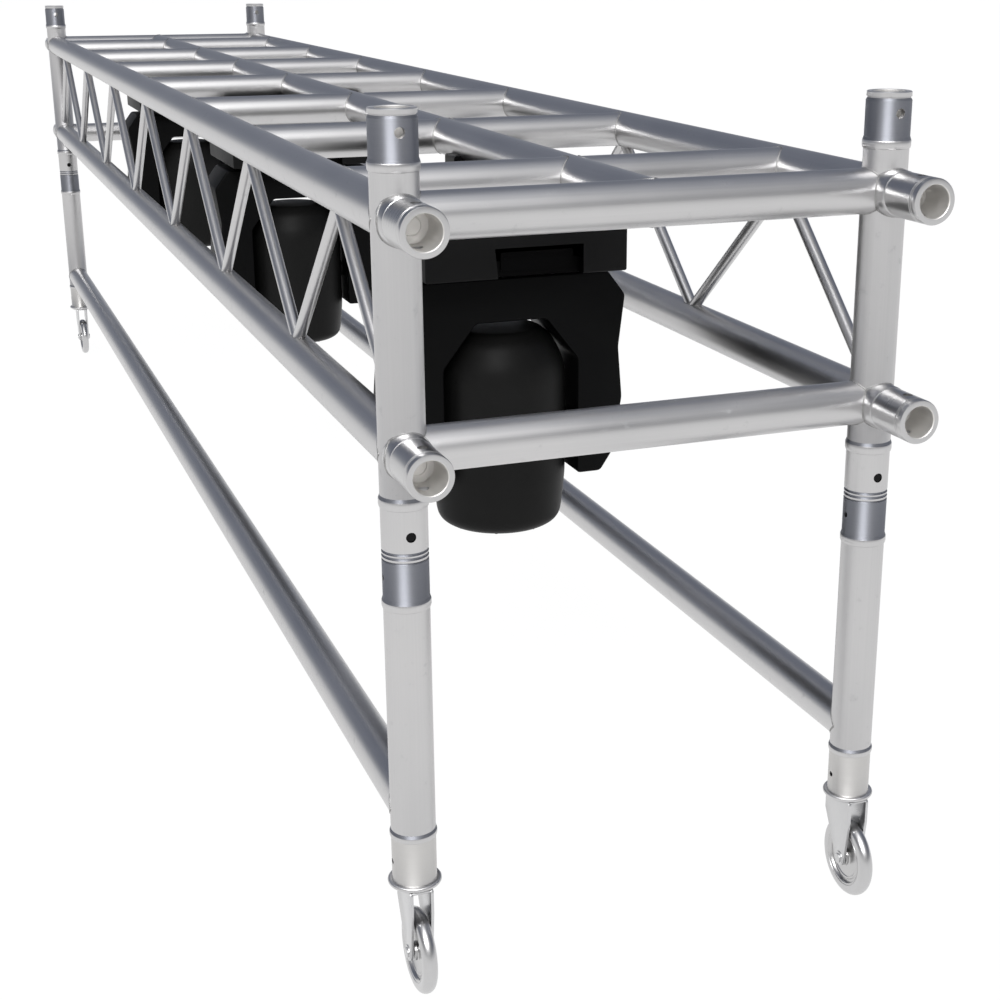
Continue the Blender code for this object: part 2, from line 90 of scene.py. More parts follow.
# %% Node maths
class Link:
    """An output socket that can be used in an expression."""

    def __init__(self, tree, socket):
        self.tree = tree
        self.socket = socket

    def node(self, kind, settings, sockets, out=0):
        made = self.tree.nodes.new(kind)
        for name, value in settings.items():
            if name == "stops":
                ramp = made.color_ramp
                while len(ramp.elements) < len(value):
                    ramp.elements.new(0.5)
                for stop, (place, colour) in zip(ramp.elements, value):
                    stop.position = place
                    stop.color = (*colour, 1.0)
            else:
                setattr(made, name, value)
        for key, value in sockets.items():
            if isinstance(value, Link):
                self.tree.links.new(value.socket, made.inputs[key])
            else:
                made.inputs[key].default_value = value
        return Link(self.tree, made.outputs[out])

    def math(self, operation, first, second):
        return self.node("ShaderNodeMath", {"operation": operation}, {0: first, 1: second})

    def __add__(self, other):
        return self.math("ADD", self, other)

    def __radd__(self, other):
        return self.math("ADD", other, self)

    def __sub__(self, other):
        return self.math("SUBTRACT", self, other)

    def __rsub__(self, other):
        return self.math("SUBTRACT", other, self)

    def __mul__(self, other):
        return self.math("MULTIPLY", self, other)

    def __rmul__(self, other):
        return self.math("MULTIPLY", other, self)

    def above(self, low, high):
        """0 under low, 1 over high, and a smooth step between them."""
        span = {"Value": self, "From Min": low, "From Max": high}
        return self.node("ShaderNodeMapRange", {"interpolation_type": "SMOOTHSTEP"}, span)

    def noise(self, scale, detail, roughness=0.5):
        """Cloudy noise on these coordinates. A list of scales stretches it."""
        place = self
        if isinstance(scale, (list, tuple)):
            place, scale = self.node("ShaderNodeMapping", {}, {"Vector": self, "Scale": scale}), 1.0
        sockets = {"Vector": place, "Scale": scale, "Detail": detail, "Roughness": roughness}
        return self.node("ShaderNodeTexNoise", {}, sockets)

    def tint(self, first, second):
        """The first colour where this value is 0, and the second where it is 1."""
        pair = {0: self, 6: (*first, 1.0), 7: (*second, 1.0)}
        return self.node("ShaderNodeMix", {"data_type": "RGBA", "clamp_factor": True}, pair, out=2)


def blank(name, **fixed):
    """A material, its Principled shader with constants set, and the Object coordinates."""
    material = bpy.data.materials.new(name)
    material.use_nodes = True
    tree = material.node_tree
    shader = tree.nodes["Principled BSDF"]
    for socket, value in fixed.items():
        shader.inputs[socket.replace("_", " ")].default_value = value
    place = tree.nodes.new("ShaderNodeTexCoord")
    return material, shader, Link(tree, place.outputs["Object"])


def wire(shader, colour, roughness, height, strength, distance):
    """Join colour, roughness and a bump height to the shader."""
    bump = {"Height": height, "Strength": strength, "Distance": distance}
    normal = height.node("ShaderNodeBump", {}, bump)
    for socket, link in (("Base Color", colour), ("Roughness", roughness), ("Normal", normal)):
        height.tree.links.new(link.socket, shader.inputs[socket])


print("node maths:", [name for name in vars(Link) if not name.startswith("_")])

# %% [markdown]
# Drawn aluminium tube has fine lines along its length, soft clouds where hands and straps have
# polished it, and a few dull scuffs. The lines are one noise stretched along the tube's own axis, so
# there is one material for each direction.

# %% Aluminium finishes
GRAIN_ACROSS = 620.0
GRAIN_ALONG = 3.0
ALUMINIUM_DARK = (0.50, 0.50, 0.505)
ALUMINIUM_PALE = (0.655, 0.645, 0.645)


def drawn_tube(name, axis, smear=0.0, depth=0.10):
    material, shader, spot = blank(name, Metallic=1.0, Anisotropic=smear)
    stretch = [GRAIN_ACROSS] * 3
    stretch[axis] = GRAIN_ALONG
    grain = spot.noise(stretch, 3.0)
    cloud = spot.noise(6.0, 4.0)
    scuff = spot.noise(70.0, 5.0, 0.65).above(0.60, 0.74)
    colour = (grain * 0.35 + cloud * 0.65 - scuff * 0.25).tint(ALUMINIUM_DARK, ALUMINIUM_PALE)
    roughness = 0.27 + grain * 0.07 + cloud * 0.10 + scuff * 0.12
    wire(shader, colour, roughness, grain - scuff * 0.6, depth, 0.0002)
    return material


def turned_metal(name, axis, dark, pale, rough, smear=0.0):
    """Metal off the lathe: fine rings round the axis, which smear its highlights along it."""
    material, shader, spot = blank(name, Metallic=1.0, Anisotropic=smear, Anisotropic_Rotation=0.25)
    stretch = [2.0] * 3
    stretch[axis] = 1500.0
    rings = spot.noise(stretch, 2.0)
    cloud = spot.noise(24.0, 4.0)
    colour = (rings * 0.4 + cloud * 0.6).tint(dark, pale)
    wire(shader, colour, rough + rings * 0.06 + cloud * 0.08, rings, 0.06, 0.0001)
    return material


TUBE_X, TUBE_Y = (drawn_tube(f"drawn tube {'xy'[axis]}", axis) for axis in range(2))
BRACE_TUBE = drawn_tube("drawn brace", 2, depth=0.02)
TUBE_Z = drawn_tube("drawn post", 2, 0.7)
BRIGHT_Y = turned_metal("machined socket", 1, (0.46, 0.46, 0.465), (0.60, 0.595, 0.595), 0.22)
# The machined stub's dark, cool base colour is a painted reflection of dim surroundings; its bright streak
# comes from the lamp.
BRIGHT_Z = turned_metal("machined stub", 2, (0.31, 0.32, 0.355), (0.45, 0.46, 0.50), 0.54, 0.92)
SLEEVE_SKIN = turned_metal("brushed sleeve", 2, (0.50, 0.492, 0.482), (0.65, 0.64, 0.628), 0.34, 0.5)
BORE_SKIN = turned_metal("bored hole", 2, (0.66, 0.648, 0.63), (0.77, 0.758, 0.74), 0.52)


def bead_metal():
    """Weld metal: darker and duller than the tube, with a breath of soot."""
    material, shader, spot = blank("weld bead", Metallic=1.0)
    soot = spot.noise(90.0, 4.0)
    grit = spot.noise(900.0, 2.0)
    colour = soot.above(0.35, 0.65).tint((0.30, 0.298, 0.295), (0.44, 0.437, 0.432))
    wire(shader, colour, 0.50 + soot * 0.14, grit, 0.10, 0.0002)
    return material


WELD = bead_metal()
print("aluminium finishes:", [look.name for look in (TUBE_X, TUBE_Y, TUBE_Z, BRIGHT_Y, BRIGHT_Z, WELD)])

# %% [markdown]
# The lights are moulded in black plastic with a fine leather-like grain that breaks up the gloss.
# The casters are zinc-plated steel, and the wheels a hard, bright grey tread on a turned disc.

# %% Black, zinc, tread and glass
MOULD_GRAIN = 1500.0


def moulded(name, dark, pale, rough, grain_scale, grain_depth, gloss=0.13, metal=0.0):
    material, shader, spot = blank(name, Metallic=metal, Specular_IOR_Level=gloss)
    grain = spot.noise(grain_scale, 2.0)
    cloud = spot.noise(11.0, 4.0)
    dust = spot.noise(45.0, 6.0, 0.7).above(0.56, 0.78)
    colour = (cloud * 0.55 + dust * 0.35).tint(dark, pale)
    wire(shader, colour, rough + cloud * 0.10 + dust * 0.12, grain, grain_depth, 0.0003)
    return material


# This black is darker than the housing's: the darker colour is painted shade in the recess, and its lower
# gloss is a duller finish.
RECESS_SHADE_BLACK = moulded(
    "recess shade black", (0.0006, 0.0006, 0.0007), (0.0018, 0.0018, 0.0020), 0.45, MOULD_GRAIN, 0.10, gloss=0.05
)
CAST_BLACK = moulded(
    "cast black", (0.0010, 0.0011, 0.0012), (0.0030, 0.0031, 0.0034), 0.40, MOULD_GRAIN, 0.14, gloss=0.08
)
HEAD_BLACK = moulded(
    "head black", (0.0042, 0.0042, 0.0041), (0.0105, 0.0105, 0.0102), 0.42, MOULD_GRAIN, 0.14
)
HOUSING = moulded(
    "black housing", (0.0022, 0.0022, 0.0024), (0.0065, 0.0065, 0.0068), 0.40, MOULD_GRAIN, 0.14
)
SMOOTH_BLACK = moulded(
    "smooth black", (0.0022, 0.0022, 0.0024), (0.006, 0.006, 0.0064), 0.32, 2600.0, 0.04
)
TREAD = moulded("grey tread", (0.50, 0.50, 0.505), (0.64, 0.635, 0.635), 0.24, 700.0, 0.05, metal=1.0)


def plated(name):
    material, shader, spot = blank(name, Metallic=1.0)
    spangle = spot.noise(160.0, 3.0)
    cloud = spot.noise(20.0, 4.0)
    colour = (spangle * 0.4 + cloud * 0.6).tint((0.50, 0.505, 0.52), (0.66, 0.655, 0.65))
    wire(shader, colour, 0.20 + spangle * 0.10 + cloud * 0.10, spangle, 0.05, 0.0002)
    return material


ZINC = plated("zinc plate")


def lens_glass():
    material, shader, spot = blank("lens glass", Metallic=0.0, Coat_Weight=1.0, Coat_Roughness=0.03)
    haze = spot.noise(60.0, 4.0)
    colour = haze.tint((0.012, 0.014, 0.018), (0.03, 0.034, 0.042))
    wire(shader, colour, 0.05 + haze * 0.08, haze, 0.02, 0.0002)
    return material


GLASS = lens_glass()
print("other finishes:", [look.name for look in (HOUSING, SMOOTH_BLACK, TREAD, ZINC, GLASS)])

# %% [markdown]
# Nearly every piece starts as a bmesh, a mesh that Python builds point by point. One function turns it
# into a named object with clean faces and smooth shading, one makes its modifiers final, and one sets
# it on the body it rides on and hides the solids it stands for.

# %% Mesh helpers
MERGE = 0.000002
SOFT_ANGLE = math.radians(32)


def soften(mesh):
    mesh.shade_smooth()
    mesh.set_sharp_from_angle(angle=SOFT_ANGLE)


def linked(name, data):
    """An object of a mesh, lamp or camera, put in the scene."""
    made = bpy.data.objects.new(name, data)
    bpy.context.scene.collection.objects.link(made)
    return made


def sketched(name, form):
    """An object of a bmesh as it is, such as loose edges for a tree to follow."""
    mesh = bpy.data.meshes.new(name)
    form.to_mesh(mesh)
    form.free()
    return linked(name, mesh)


def piece(name, form, *looks):
    """A named object of a bmesh: doubles merged, faces outward, round where it is round."""
    bmesh.ops.remove_doubles(form, verts=form.verts, dist=MERGE)
    bmesh.ops.recalc_face_normals(form, faces=form.faces)
    made = sketched(name, form)
    for look in looks:
        made.data.materials.append(look)
    soften(made.data)
    return made


def settled(made):
    """Turn a piece and its modifiers into a plain mesh."""
    bpy.context.view_layer.update()
    graph = bpy.context.evaluated_depsgraph_get()
    mesh = bpy.data.meshes.new_from_object(made.evaluated_get(graph))
    made.modifiers.clear()
    made.data = mesh
    soften(mesh)
    return made


def dress(made, body, slot, *nodes):
    """The piece rides on a body and stands for its solids, which are hidden. The slot is not used."""
    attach(made, body)
    if nodes:
        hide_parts(*nodes)
    return made


def alloy(made, *nodes):
    """A piece of the truss in satin aluminium."""
    return dress(made, "truss", "satin_aluminium", *nodes)


print("shading is smooth up to", round(math.degrees(SOFT_ANGLE)), "degrees")

# %% [markdown]
# Welded tubes are coped: the end of one is sawn to the round of the other. The same sum gives the
# sawn edge and the line that the weld follows: each line along the tube's skin is carried on until
# it comes out of the tube that it is welded to.

# %% Coped tubes
TUBE_FACES = 56
weld_lines = {"ladder": [], "frame": [], "lacing": []}


def seat(start, run, radius, seats, sides=TUBE_FACES):
    """The rim of a tube that starts inside other tubes, each given by a point, a direction, a radius."""
    across = run.orthogonal().normalized()
    lift = run.cross(across)
    rim = []
    for k in range(sides):
        turn = 2 * math.pi * k / sides
        skin = start + radius * (math.cos(turn) * across + math.sin(turn) * lift)
        reach = 0.0
        for point, axle, wide in seats:
            off = (skin - point) - axle * (skin - point).dot(axle)
            climb = run - axle * run.dot(axle)
            a, b, c = climb.dot(climb), 2 * off.dot(climb), off.dot(off) - wide * wide
            inside = b * b - 4 * a * c
            if inside > 0:
                reach = max(reach, (-b + math.sqrt(inside)) / (2 * a))
        rim.append(skin + run * reach)
    return rim


def tube(name, ends, across, look, radius=TUBE, welds=weld_lines["frame"]):
    """A tube between two points, sawn to the tubes at its ends, which run in the directions across."""
    run = (ends[1] - ends[0]).normalized()
    low, high = (
        seat(point, way, radius, [(point, axis, TUBE) for axis in across])
        for point, way in zip(ends, (run, -run))
    )
    # The two rims turn opposite ways, so the far one is matched to the near one by its place
    high = [min(high, key=lambda p, q=q: ((p - q) - run * (p - q).dot(run)).length) for q in low]
    form = bmesh.new()
    rings = [[form.verts.new(point) for point in rim] for rim in (low, high)]
    for k in range(TUBE_FACES):
        after = (k + 1) % TUBE_FACES
        form.faces.new([rings[0][k], rings[0][after], rings[1][after], rings[1][k]])
    for ring in rings:
        hub = form.verts.new(sum((corner.co for corner in ring), Vector()) / len(ring))
        for k in range(TUBE_FACES):
            form.faces.new([ring[k], ring[(k + 1) % TUBE_FACES], hub])
    welds += [low, high]
    return piece(name, form, look)


print("tubes have", TUBE_FACES, "faces round them")

# %% [markdown]
# The four chords run from post to post and the centre chord from end tube to end tube. They are the
# longest and plainest pieces, so their finish does the work.

# %% Chords and end tubes
for side, x in SIDES.items():
    for level, z in LEVELS.items():
        name = f"{level}_chord_{side}"
        ends = [Vector((x, y, z)) for y in ENDS.values()]
        alloy(tube(f"skin_{name}", ends, [Z], TUBE_Y), name)
ends = [Vector((0, y, TOP)) for y in ENDS.values()]
alloy(tube("skin_top_chord_centre", ends, [X], TUBE_Y), "top_chord_centre")
for end, y in ENDS.items():
    for level, z in LEVELS.items():
        name = f"end_tube_{level}_{end}"
        ends = [Vector((x, y, z)) for x in SIDES.values()]
        alloy(tube(f"skin_{name}", ends, [Z, Y], TUBE_X), name)
print("chords and end tubes: 9, welds so far:", len(weld_lines["frame"]))

# %% [markdown]
# The rungs repeat at one spacing, so one rung is made and a Geometry Nodes tree sets its copies in a
# row. The tree's inputs are the count and the pitch, and it ends in Realize Instances so that plain
# faces are left.

# %% Geometry Nodes helpers and the ladder's rungs
def node_tree(name, **inputs):
    """A Geometry Nodes tree with named inputs. Gives the tree, its inputs as links, and an ending."""
    tree = bpy.data.node_groups.new(name, "GeometryNodeTree")
    tree.interface.new_socket("Geometry", in_out="INPUT", socket_type="NodeSocketGeometry")
    for label, kind in {**inputs, "Material": "Material"}.items():
        tree.interface.new_socket(label, in_out="INPUT", socket_type=f"NodeSocket{kind}")
    tree.interface.new_socket("Geometry", in_out="OUTPUT", socket_type="NodeSocketGeometry")
    start = tree.nodes.new("NodeGroupInput")
    links = {socket.name: Link(tree, socket) for socket in start.outputs if socket.name}

    def ending(shape):
        plain = shape.node("GeometryNodeRealizeInstances", {}, {"Geometry": shape})
        sockets = {"Geometry": plain, "Material": links["Material"]}
        looked = plain.node("GeometryNodeSetMaterial", {}, sockets)
        tree.links.new(looked.socket, tree.nodes.new("NodeGroupOutput").inputs[0])

    return tree, links, ending


def grown(made, tree, values):
    """Run a tree on a piece with its inputs set, and keep the result as a plain mesh."""
    step = made.modifiers.new("grown", "NODES")
    step.node_group = tree
    for socket in tree.interface.items_tree:
        if socket.in_out == "INPUT" and socket.name in values:
            step[socket.identifier] = values[socket.name]
    return settled(made)


row_tree, row, row_end = node_tree("copies in a row", Count="Int", Pitch="Vector")
shape = row["Geometry"]
spacing = {"Count": row["Count"], "Offset": row["Pitch"]}
line = shape.node("GeometryNodeMeshLine", {"mode": "OFFSET"}, spacing)
row_end(shape.node("GeometryNodeInstanceOnPoints", {}, {"Points": line, "Instance": shape}))

for side, x in SIDES.items():
    ends = [Vector((0, RUNG_Y[0], TOP)), Vector((x, RUNG_Y[0], TOP))]
    rims = []
    rung = tube(f"rungs_{side}", ends, [Y], TUBE_X, RUNG, rims)
    grown(rung, row_tree, {"Count": RUNGS, "Pitch": (0, PANEL, 0), "Material": TUBE_X})
    names = [f"rung_{side}_{number}" for number in range(1, RUNGS + 1)]
    alloy(rung, *names)
    for y in RUNG_Y:
        weld_lines["ladder"] += [[point + Y * (y - RUNG_Y[0]) for point in rim] for rim in rims]
    print(rung.name, "has", len(rung.data.polygons), "faces")

# %% [markdown]
# The sides are laced with slim tubes that zigzag between the chords. Each is a straight path, and
# Curve to Mesh carries a circle along it, so the tree needs only the radius and the faces round it.

# %% Lacing
BRACE_INSET = 0.018
BRACE_FACES, BRACE_WELD_POINTS = 24, 20
rod_tree, rod_in, rod_end = node_tree("tube on a path", Radius="Float", Sides="Int")
shape = rod_in["Geometry"]
path = shape.node("GeometryNodeMeshToCurve", {}, {"Mesh": shape})
around = {"Resolution": rod_in["Sides"], "Radius": rod_in["Radius"]}
circle = shape.node("GeometryNodeCurvePrimitiveCircle", {}, around)
carry = {"Curve": path, "Profile Curve": circle, "Fill Caps": True}
rod_end(shape.node("GeometryNodeCurveToMesh", {}, carry))

for side, x in SIDES.items():
    route = [Vector((x, ENDS["near"], BOTTOM + BRACE_INSET))]
    for y in RUNG_Y:
        foot = y + PANEL / 2 if y != RUNG_Y[-1] else ENDS["far"]
        route += [Vector((x, y, TOP - BRACE_INSET)), Vector((x, foot, BOTTOM + BRACE_INSET))]
    form = bmesh.new()
    for first, last in zip(route, route[1:]):
        form.edges.new([form.verts.new(first), form.verts.new(last)])
        for point, other in ((first, last), (last, first)):
            chord = Vector((x, point.y, TOP if point.z > other.z else BOTTOM))
            run = (other - point).normalized()
            rim = seat(point, run, BRACE, [(chord, Y, TUBE)], BRACE_WELD_POINTS)
            weld_lines["lacing"].append(rim)
    lacing = sketched(f"lacing_tubes_{side}", form)
    grown(lacing, rod_tree, {"Radius": BRACE, "Sides": BRACE_FACES, "Material": BRACE_TUBE})
    alloy(lacing, f"lacing_{side}")
    print(lacing.name, "has", len(route) - 1, "braces")

# %% [markdown]
# Posts, legs, sockets, wheels and heads are lathe work. A profile of radius and height points is
# carried round an axis, like a tool along turning stock. Holes are then cut across it with a Boolean
# modifier, because a drilled hole has a real edge that catches the light.

# %% Lathe and drill
LATHE_FACES = 72


def spun(profile, sides=64, at=(0, 0, 0), along=Z, form=None, look=0, bands=()):
    """Carry a profile of (radius, height) points round an axis. A band of heights takes another look."""
    form = form or bmesh.new()
    place = Matrix.Translation(at) @ Z.rotation_difference(along).to_matrix().to_4x4()
    rings = []
    for radius, height in profile:
        turns = [2 * math.pi * k / sides for k in range(sides if radius > MERGE else 1)]
        ring = [Vector((radius * math.cos(turn), radius * math.sin(turn), height)) for turn in turns]
        rings.append([form.verts.new(place @ point) for point in ring])
    for (low, high), (first, second) in zip(zip(rings, rings[1:]), zip(profile, profile[1:])):
        level = (first[1] + second[1]) / 2
        shade = next((index for start, stop, index in bands if start < level < stop), look)
        for k in range(sides if len(low) + len(high) > 2 else 0):
            corners = [low[k % len(low)], low[(k + 1) % len(low)]]
            corners += [high[(k + 1) % len(high)], high[k % len(high)]]
            face = form.faces.new(list(dict.fromkeys(corners)))
            face.material_index = shade
    return form


def rod(radius, low, high):
    """The lathe profile of a plain rod."""
    return [(0, low), (radius, low), (radius, high), (0, high)]


def lined(form, at, along, radius, look):
    """Give another look to the faces that lie within a radius of an axis."""
    for face in form.faces:
        off = face.calc_center_median() - at
        if (off - along * off.dot(along)).length < radius:
            face.material_index = look
    return form


def discard(*made):
    for one in made:
        bpy.data.objects.remove(one)


def cut(made, cutters):
    """Take the cutters out of a piece."""
    for cutter in cutters:
        step = made.modifiers.new("cut", "BOOLEAN")
        step.operation, step.solver, step.object = "DIFFERENCE", "EXACT", cutter
    return settled(made)


def drilled(made, holes, sides=28):
    """Cut round holes, each given by its middle, direction, radius and half length."""
    bits = []
    for at, along, radius, reach in holes:
        bits.append(piece("drill", spun(rod(radius, -reach, reach), sides, at, along)))
    cut(made, bits)
    discard(*bits)
    return made


print("turned pieces have", LATHE_FACES, "faces round them")

# %% [markdown]
# A few turned details come back on many pieces: a collar, a groove and a bored socket. The top edge
# of a collar is turned to a slope, which is bright like a coupling stub, because a cutter has passed
# over both. The slope takes the stub's finish, whose dark, cool colour is a painted reflection. Each
# detail is a short list of profile points, so a whole piece is a sum of them.

# %% Turned details
BORE = 0.018
BORE_EDGE = BORE + 0.0006
BORE_DEPTH = 0.046
GROOVE = 0.0011


def collar(radius, low, high):
    """A ring that stands out of the tube: a bright slope on top, a flat band and a taper below."""
    lift = radius - TUBE
    return [
        (TUBE, low),
        (TUBE + lift * 0.6, low + 0.0007),
        (radius - 0.0002, low + 0.0022),
        (radius, low + 0.0030),
        (radius, high - 0.0038),
        (radius - 0.0003, high - 0.0033),
        (TUBE + 0.0003, high - 0.0002),
        (TUBE, high + 0.0004),
    ]


def sloped(high):
    """The band of heights of a collar's slope, which is turned bright."""
    return (high - 0.0034, high + 0.0003, 1)


def groove(height, width=0.0022, radius=TUBE):
    """A turned groove round a tube."""
    half = width / 2
    floor = [(radius - GROOVE, height - half * 0.5), (radius - GROOVE, height + half * 0.5)]
    return [(radius, height - half)] + floor + [(radius, height + half)]


def bore(rim, depth, out):
    """The inside of a socket from its middle to its rim: a ringed floor, a wall and a broken edge."""
    floor = rim - out * depth
    return [
        (0, floor),
        (0.0088, floor),
        (0.0091, floor - out * 0.0008),
        (0.0097, floor - out * 0.0008),
        (0.0100, floor),
        (BORE - 0.0008, floor),
        (BORE, floor + out * 0.0008),
        (BORE, rim - out * 0.0009),
        (BORE + 0.0009, rim),
    ]


print("a socket is", 2000 * BORE, "mm wide and", 1000 * BORE_DEPTH, "mm deep")

# %% [markdown]
# A post has a socket below with two grooves at its rim, a collar above that, and a bright coupling
# stub on top with another collar under it.

# %% Corner posts
PIN = 0.0055
COLLAR = 0.0266
FOOT_RISE = 0.029
PIN_SETBACK, STUB_SETBACK = 0.026, 0.0227
POST_HEAD, TOP_COLLAR, POST_FOOT, FOOT_COLLAR = 0.046, 0.0125, 0.045, 0.013
post_low, post_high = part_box("corner_post_left_near")
SOCKET, RIM = post_low.z, post_high.z
stub_low = TOP + POST_HEAD + TOP_COLLAR
foot_high = BOTTOM - POST_FOOT
profile = bore(SOCKET, BORE_DEPTH, -1)
profile += [(TUBE - 0.0010, SOCKET), (TUBE, SOCKET + 0.0012)]
FOOT_GROOVES, FOOT_GROOVE = (SOCKET + 0.0050, SOCKET + 0.0098), 0.0032
for level in FOOT_GROOVES:
    profile += groove(level, FOOT_GROOVE)
profile += collar(COLLAR, foot_high - FOOT_COLLAR, foot_high)
profile += collar(COLLAR, TOP + POST_HEAD, stub_low)
profile += [(TUBE, RIM - 0.0096), (TUBE - 0.0018, RIM - 0.0068), (TUBE - 0.0018, RIM - 0.0062)]
profile += [(TUBE - 0.0004, RIM - 0.0056), (TUBE - 0.0004, RIM - 0.0010), (TUBE - 0.0014, RIM)]
profile += bore(RIM, BORE_DEPTH, 1)[::-1]
bright = [(stub_low + 0.0005, RIM - 0.0066, 1), sloped(stub_low), sloped(foot_high)]
bright += [(level - FOOT_GROOVE / 2, level + FOOT_GROOVE / 2, 1) for level in FOOT_GROOVES]
for side, end, x, y in CORNERS:
    form = spun(profile, LATHE_FACES, (x, y, 0), bands=bright)
    lined(form, Vector((x, y, 0)), Z, BORE_EDGE, 2)
    post = piece(f"post_{side}_{end}", form, TUBE_Z, BRIGHT_Z, BORE_SKIN)
    heights = (SOCKET + FOOT_RISE, RIM - STUB_SETBACK)
    drilled(post, [(Vector((x, y, z)), Y, PIN, 0.06) for z in heights])
    alloy(post, f"corner_post_{side}_{end}")
print("posts: 4, each with", len(post.data.polygons), "faces")

# %% [markdown]
# The end receivers stand out from the posts. Each is bored for a coupler, cross-drilled for its pin,
# and turned bright, with a weld ring where it meets the post and two grooves behind its face.

# %% End receivers
REACH = 0.100
WELD_RING = 0.0258
profile = [(0, 0.012), (WELD_RING - 0.001, 0.012), (WELD_RING, 0.018), (WELD_RING, 0.0365)]
profile += [(WELD_RING - 0.0006, 0.0385), (TUBE, 0.0395), (TUBE - GROOVE, 0.0400), (TUBE - GROOVE, 0.0412)]
profile += [(TUBE, 0.0418)] + groove(REACH - 0.0112, 0.0018) + groove(REACH - 0.0082, 0.0018)
profile += [(TUBE, REACH - 0.0016), (TUBE - 0.0005, REACH - 0.0004), (TUBE - 0.0016, REACH)]
profile += bore(REACH, BORE_DEPTH, 1)[::-1]
for side, end, x, y in CORNERS:
    for level, z in LEVELS.items():
        out = Y * OUTWARD[end]
        at = Vector((x, y, z))
        form = lined(spun(profile, LATHE_FACES, at, out), at, out, BORE_EDGE, 1)
        receiver = piece(f"socket_{side}_{end}_{level}", form, BRIGHT_Y, BORE_SKIN)
        drilled(receiver, [(at + out * (REACH - PIN_SETBACK), Z, PIN, 0.05)])
        dress(receiver, "truss", "machined_aluminium", f"receiver_{side}_{end}_{level}")
        weld_lines["frame"].append(seat(at, out, WELD_RING, [(at, Z, TUBE), (at, X, TUBE)]))
print("receivers: 8, each with", len(receiver.data.polygons), "faces")

# %% [markdown]
# A dolly leg plugs into the post's socket. Its bright stub and its sleeve are cross-drilled, and a
# rolled lip covers the swivel. The low rails tie each side's two legs.

# %% Legs and rails
RING = 0.0265
LIP, LIP_HEIGHT = 0.0303, 0.006
SLEEVE_HEIGHT, RING_HEIGHT, SHANK_HEIGHT = 0.054, 0.015, 0.256
LEG_COLLAR, STUB_HEIGHT = 0.012, 0.043
KINGPIN, KINGPIN_HOLE = 0.007, 0.0304
leg_low, leg_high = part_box("leg_left_near")
lip_z, spigot_z = leg_low.z, leg_high.z
sleeve_z = lip_z + LIP_HEIGHT
ring_z = sleeve_z + SLEEVE_HEIGHT
shank_z = ring_z + RING_HEIGHT
leg_collar_z = shank_z + SHANK_HEIGHT
stub_z = leg_collar_z + LEG_COLLAR
shoulder_z = stub_z + STUB_HEIGHT
roll = LIP_HEIGHT / 2
lip = [
    (LIP - roll + roll * math.cos(turn), lip_z + roll + roll * math.sin(turn))
    for turn in [math.pi * (step / 8 - 0.5) for step in range(9)]
]
hole, hole_z = KINGPIN + CLEARANCE, lip_z + KINGPIN_HOLE
profile = [(0, hole_z), (hole, hole_z), (hole, lip_z)] + lip
profile += [(TUBE + 0.0006, sleeve_z), (TUBE, sleeve_z + 0.0010)]
ring_high = ring_z + 0.0085
profile += collar(RING, ring_z - 0.0012, ring_high) + collar(RING, leg_collar_z, stub_z)
spigot = BORE - CLEARANCE
profile += [(TUBE, shoulder_z - 0.0010), (TUBE - 0.0010, shoulder_z), (spigot, shoulder_z)]
profile += [(spigot, spigot_z - 0.002), (spigot - 0.002, spigot_z), (0, spigot_z)]
bright = [(stub_z + 0.0008, spigot_z, 1), sloped(stub_z), sloped(ring_high)]
bright.append((sleeve_z, ring_z - 0.002, 2))
STUB_HOLE, SLEEVE_HOLE, SMALL_HOLE = BOTTOM - 0.135, BOTTOM - 0.472, 0.0032
for side, x in SIDES.items():
    for end, y in ENDS.items():
        form = spun(profile, LATHE_FACES, (x, y, 0), bands=bright)
        leg = piece(f"dolly_leg_{side}_{end}", form, TUBE_Z, BRIGHT_Z, SLEEVE_SKIN)
        holes = [(Vector((x, y, z)), X, SMALL_HOLE, 0.04) for z in (STUB_HOLE, SLEEVE_HOLE)]
        holes.append((Vector((x, y, SOCKET + FOOT_RISE)), Y, PIN, 0.04))
        drilled(leg, holes)
        alloy(leg, f"leg_{side}_{end}")
    rail_z = middle(f"dolly_rail_{side}").z
    ends = [Vector((x, y, rail_z)) for y in ENDS.values()]
    alloy(tube(f"low_rail_{side}", ends, [Z], TUBE_Y), f"dolly_rail_{side}")
print("legs: 4 from", round(lip_z, 3), "to", round(spigot_z, 3), "m, rails: 2")

# %% [markdown]
# A black steel pin locks each leg in its post. Only its end shows, a little below the skin of the
# socket, so it is a short bar with rounded ends.

# %% Leg pins
form = bmesh.new()
pin_half = TUBE - 0.0012
bar = [(0, -pin_half), (PIN - 0.0010, -pin_half), (PIN - CLEARANCE, -pin_half + 0.0007)]
bar += [(radius, -height) for radius, height in reversed(bar)]
for _, _, x, y in CORNERS:
    spun(bar, 28, (x, y, SOCKET + FOOT_RISE), Y, form)
dress(piece("leg_pins", form, SMOOTH_BLACK), "truss", "black_housing")
print("leg pins: 4")

# %% [markdown]
# A weld bead is a row of small ripples laid along the joint. The seat lines found while the tubes
# were sawn become closed curves. A tree resamples each one, swells and pinches its radius with a
# wave along its length, and carries a small circle along it.

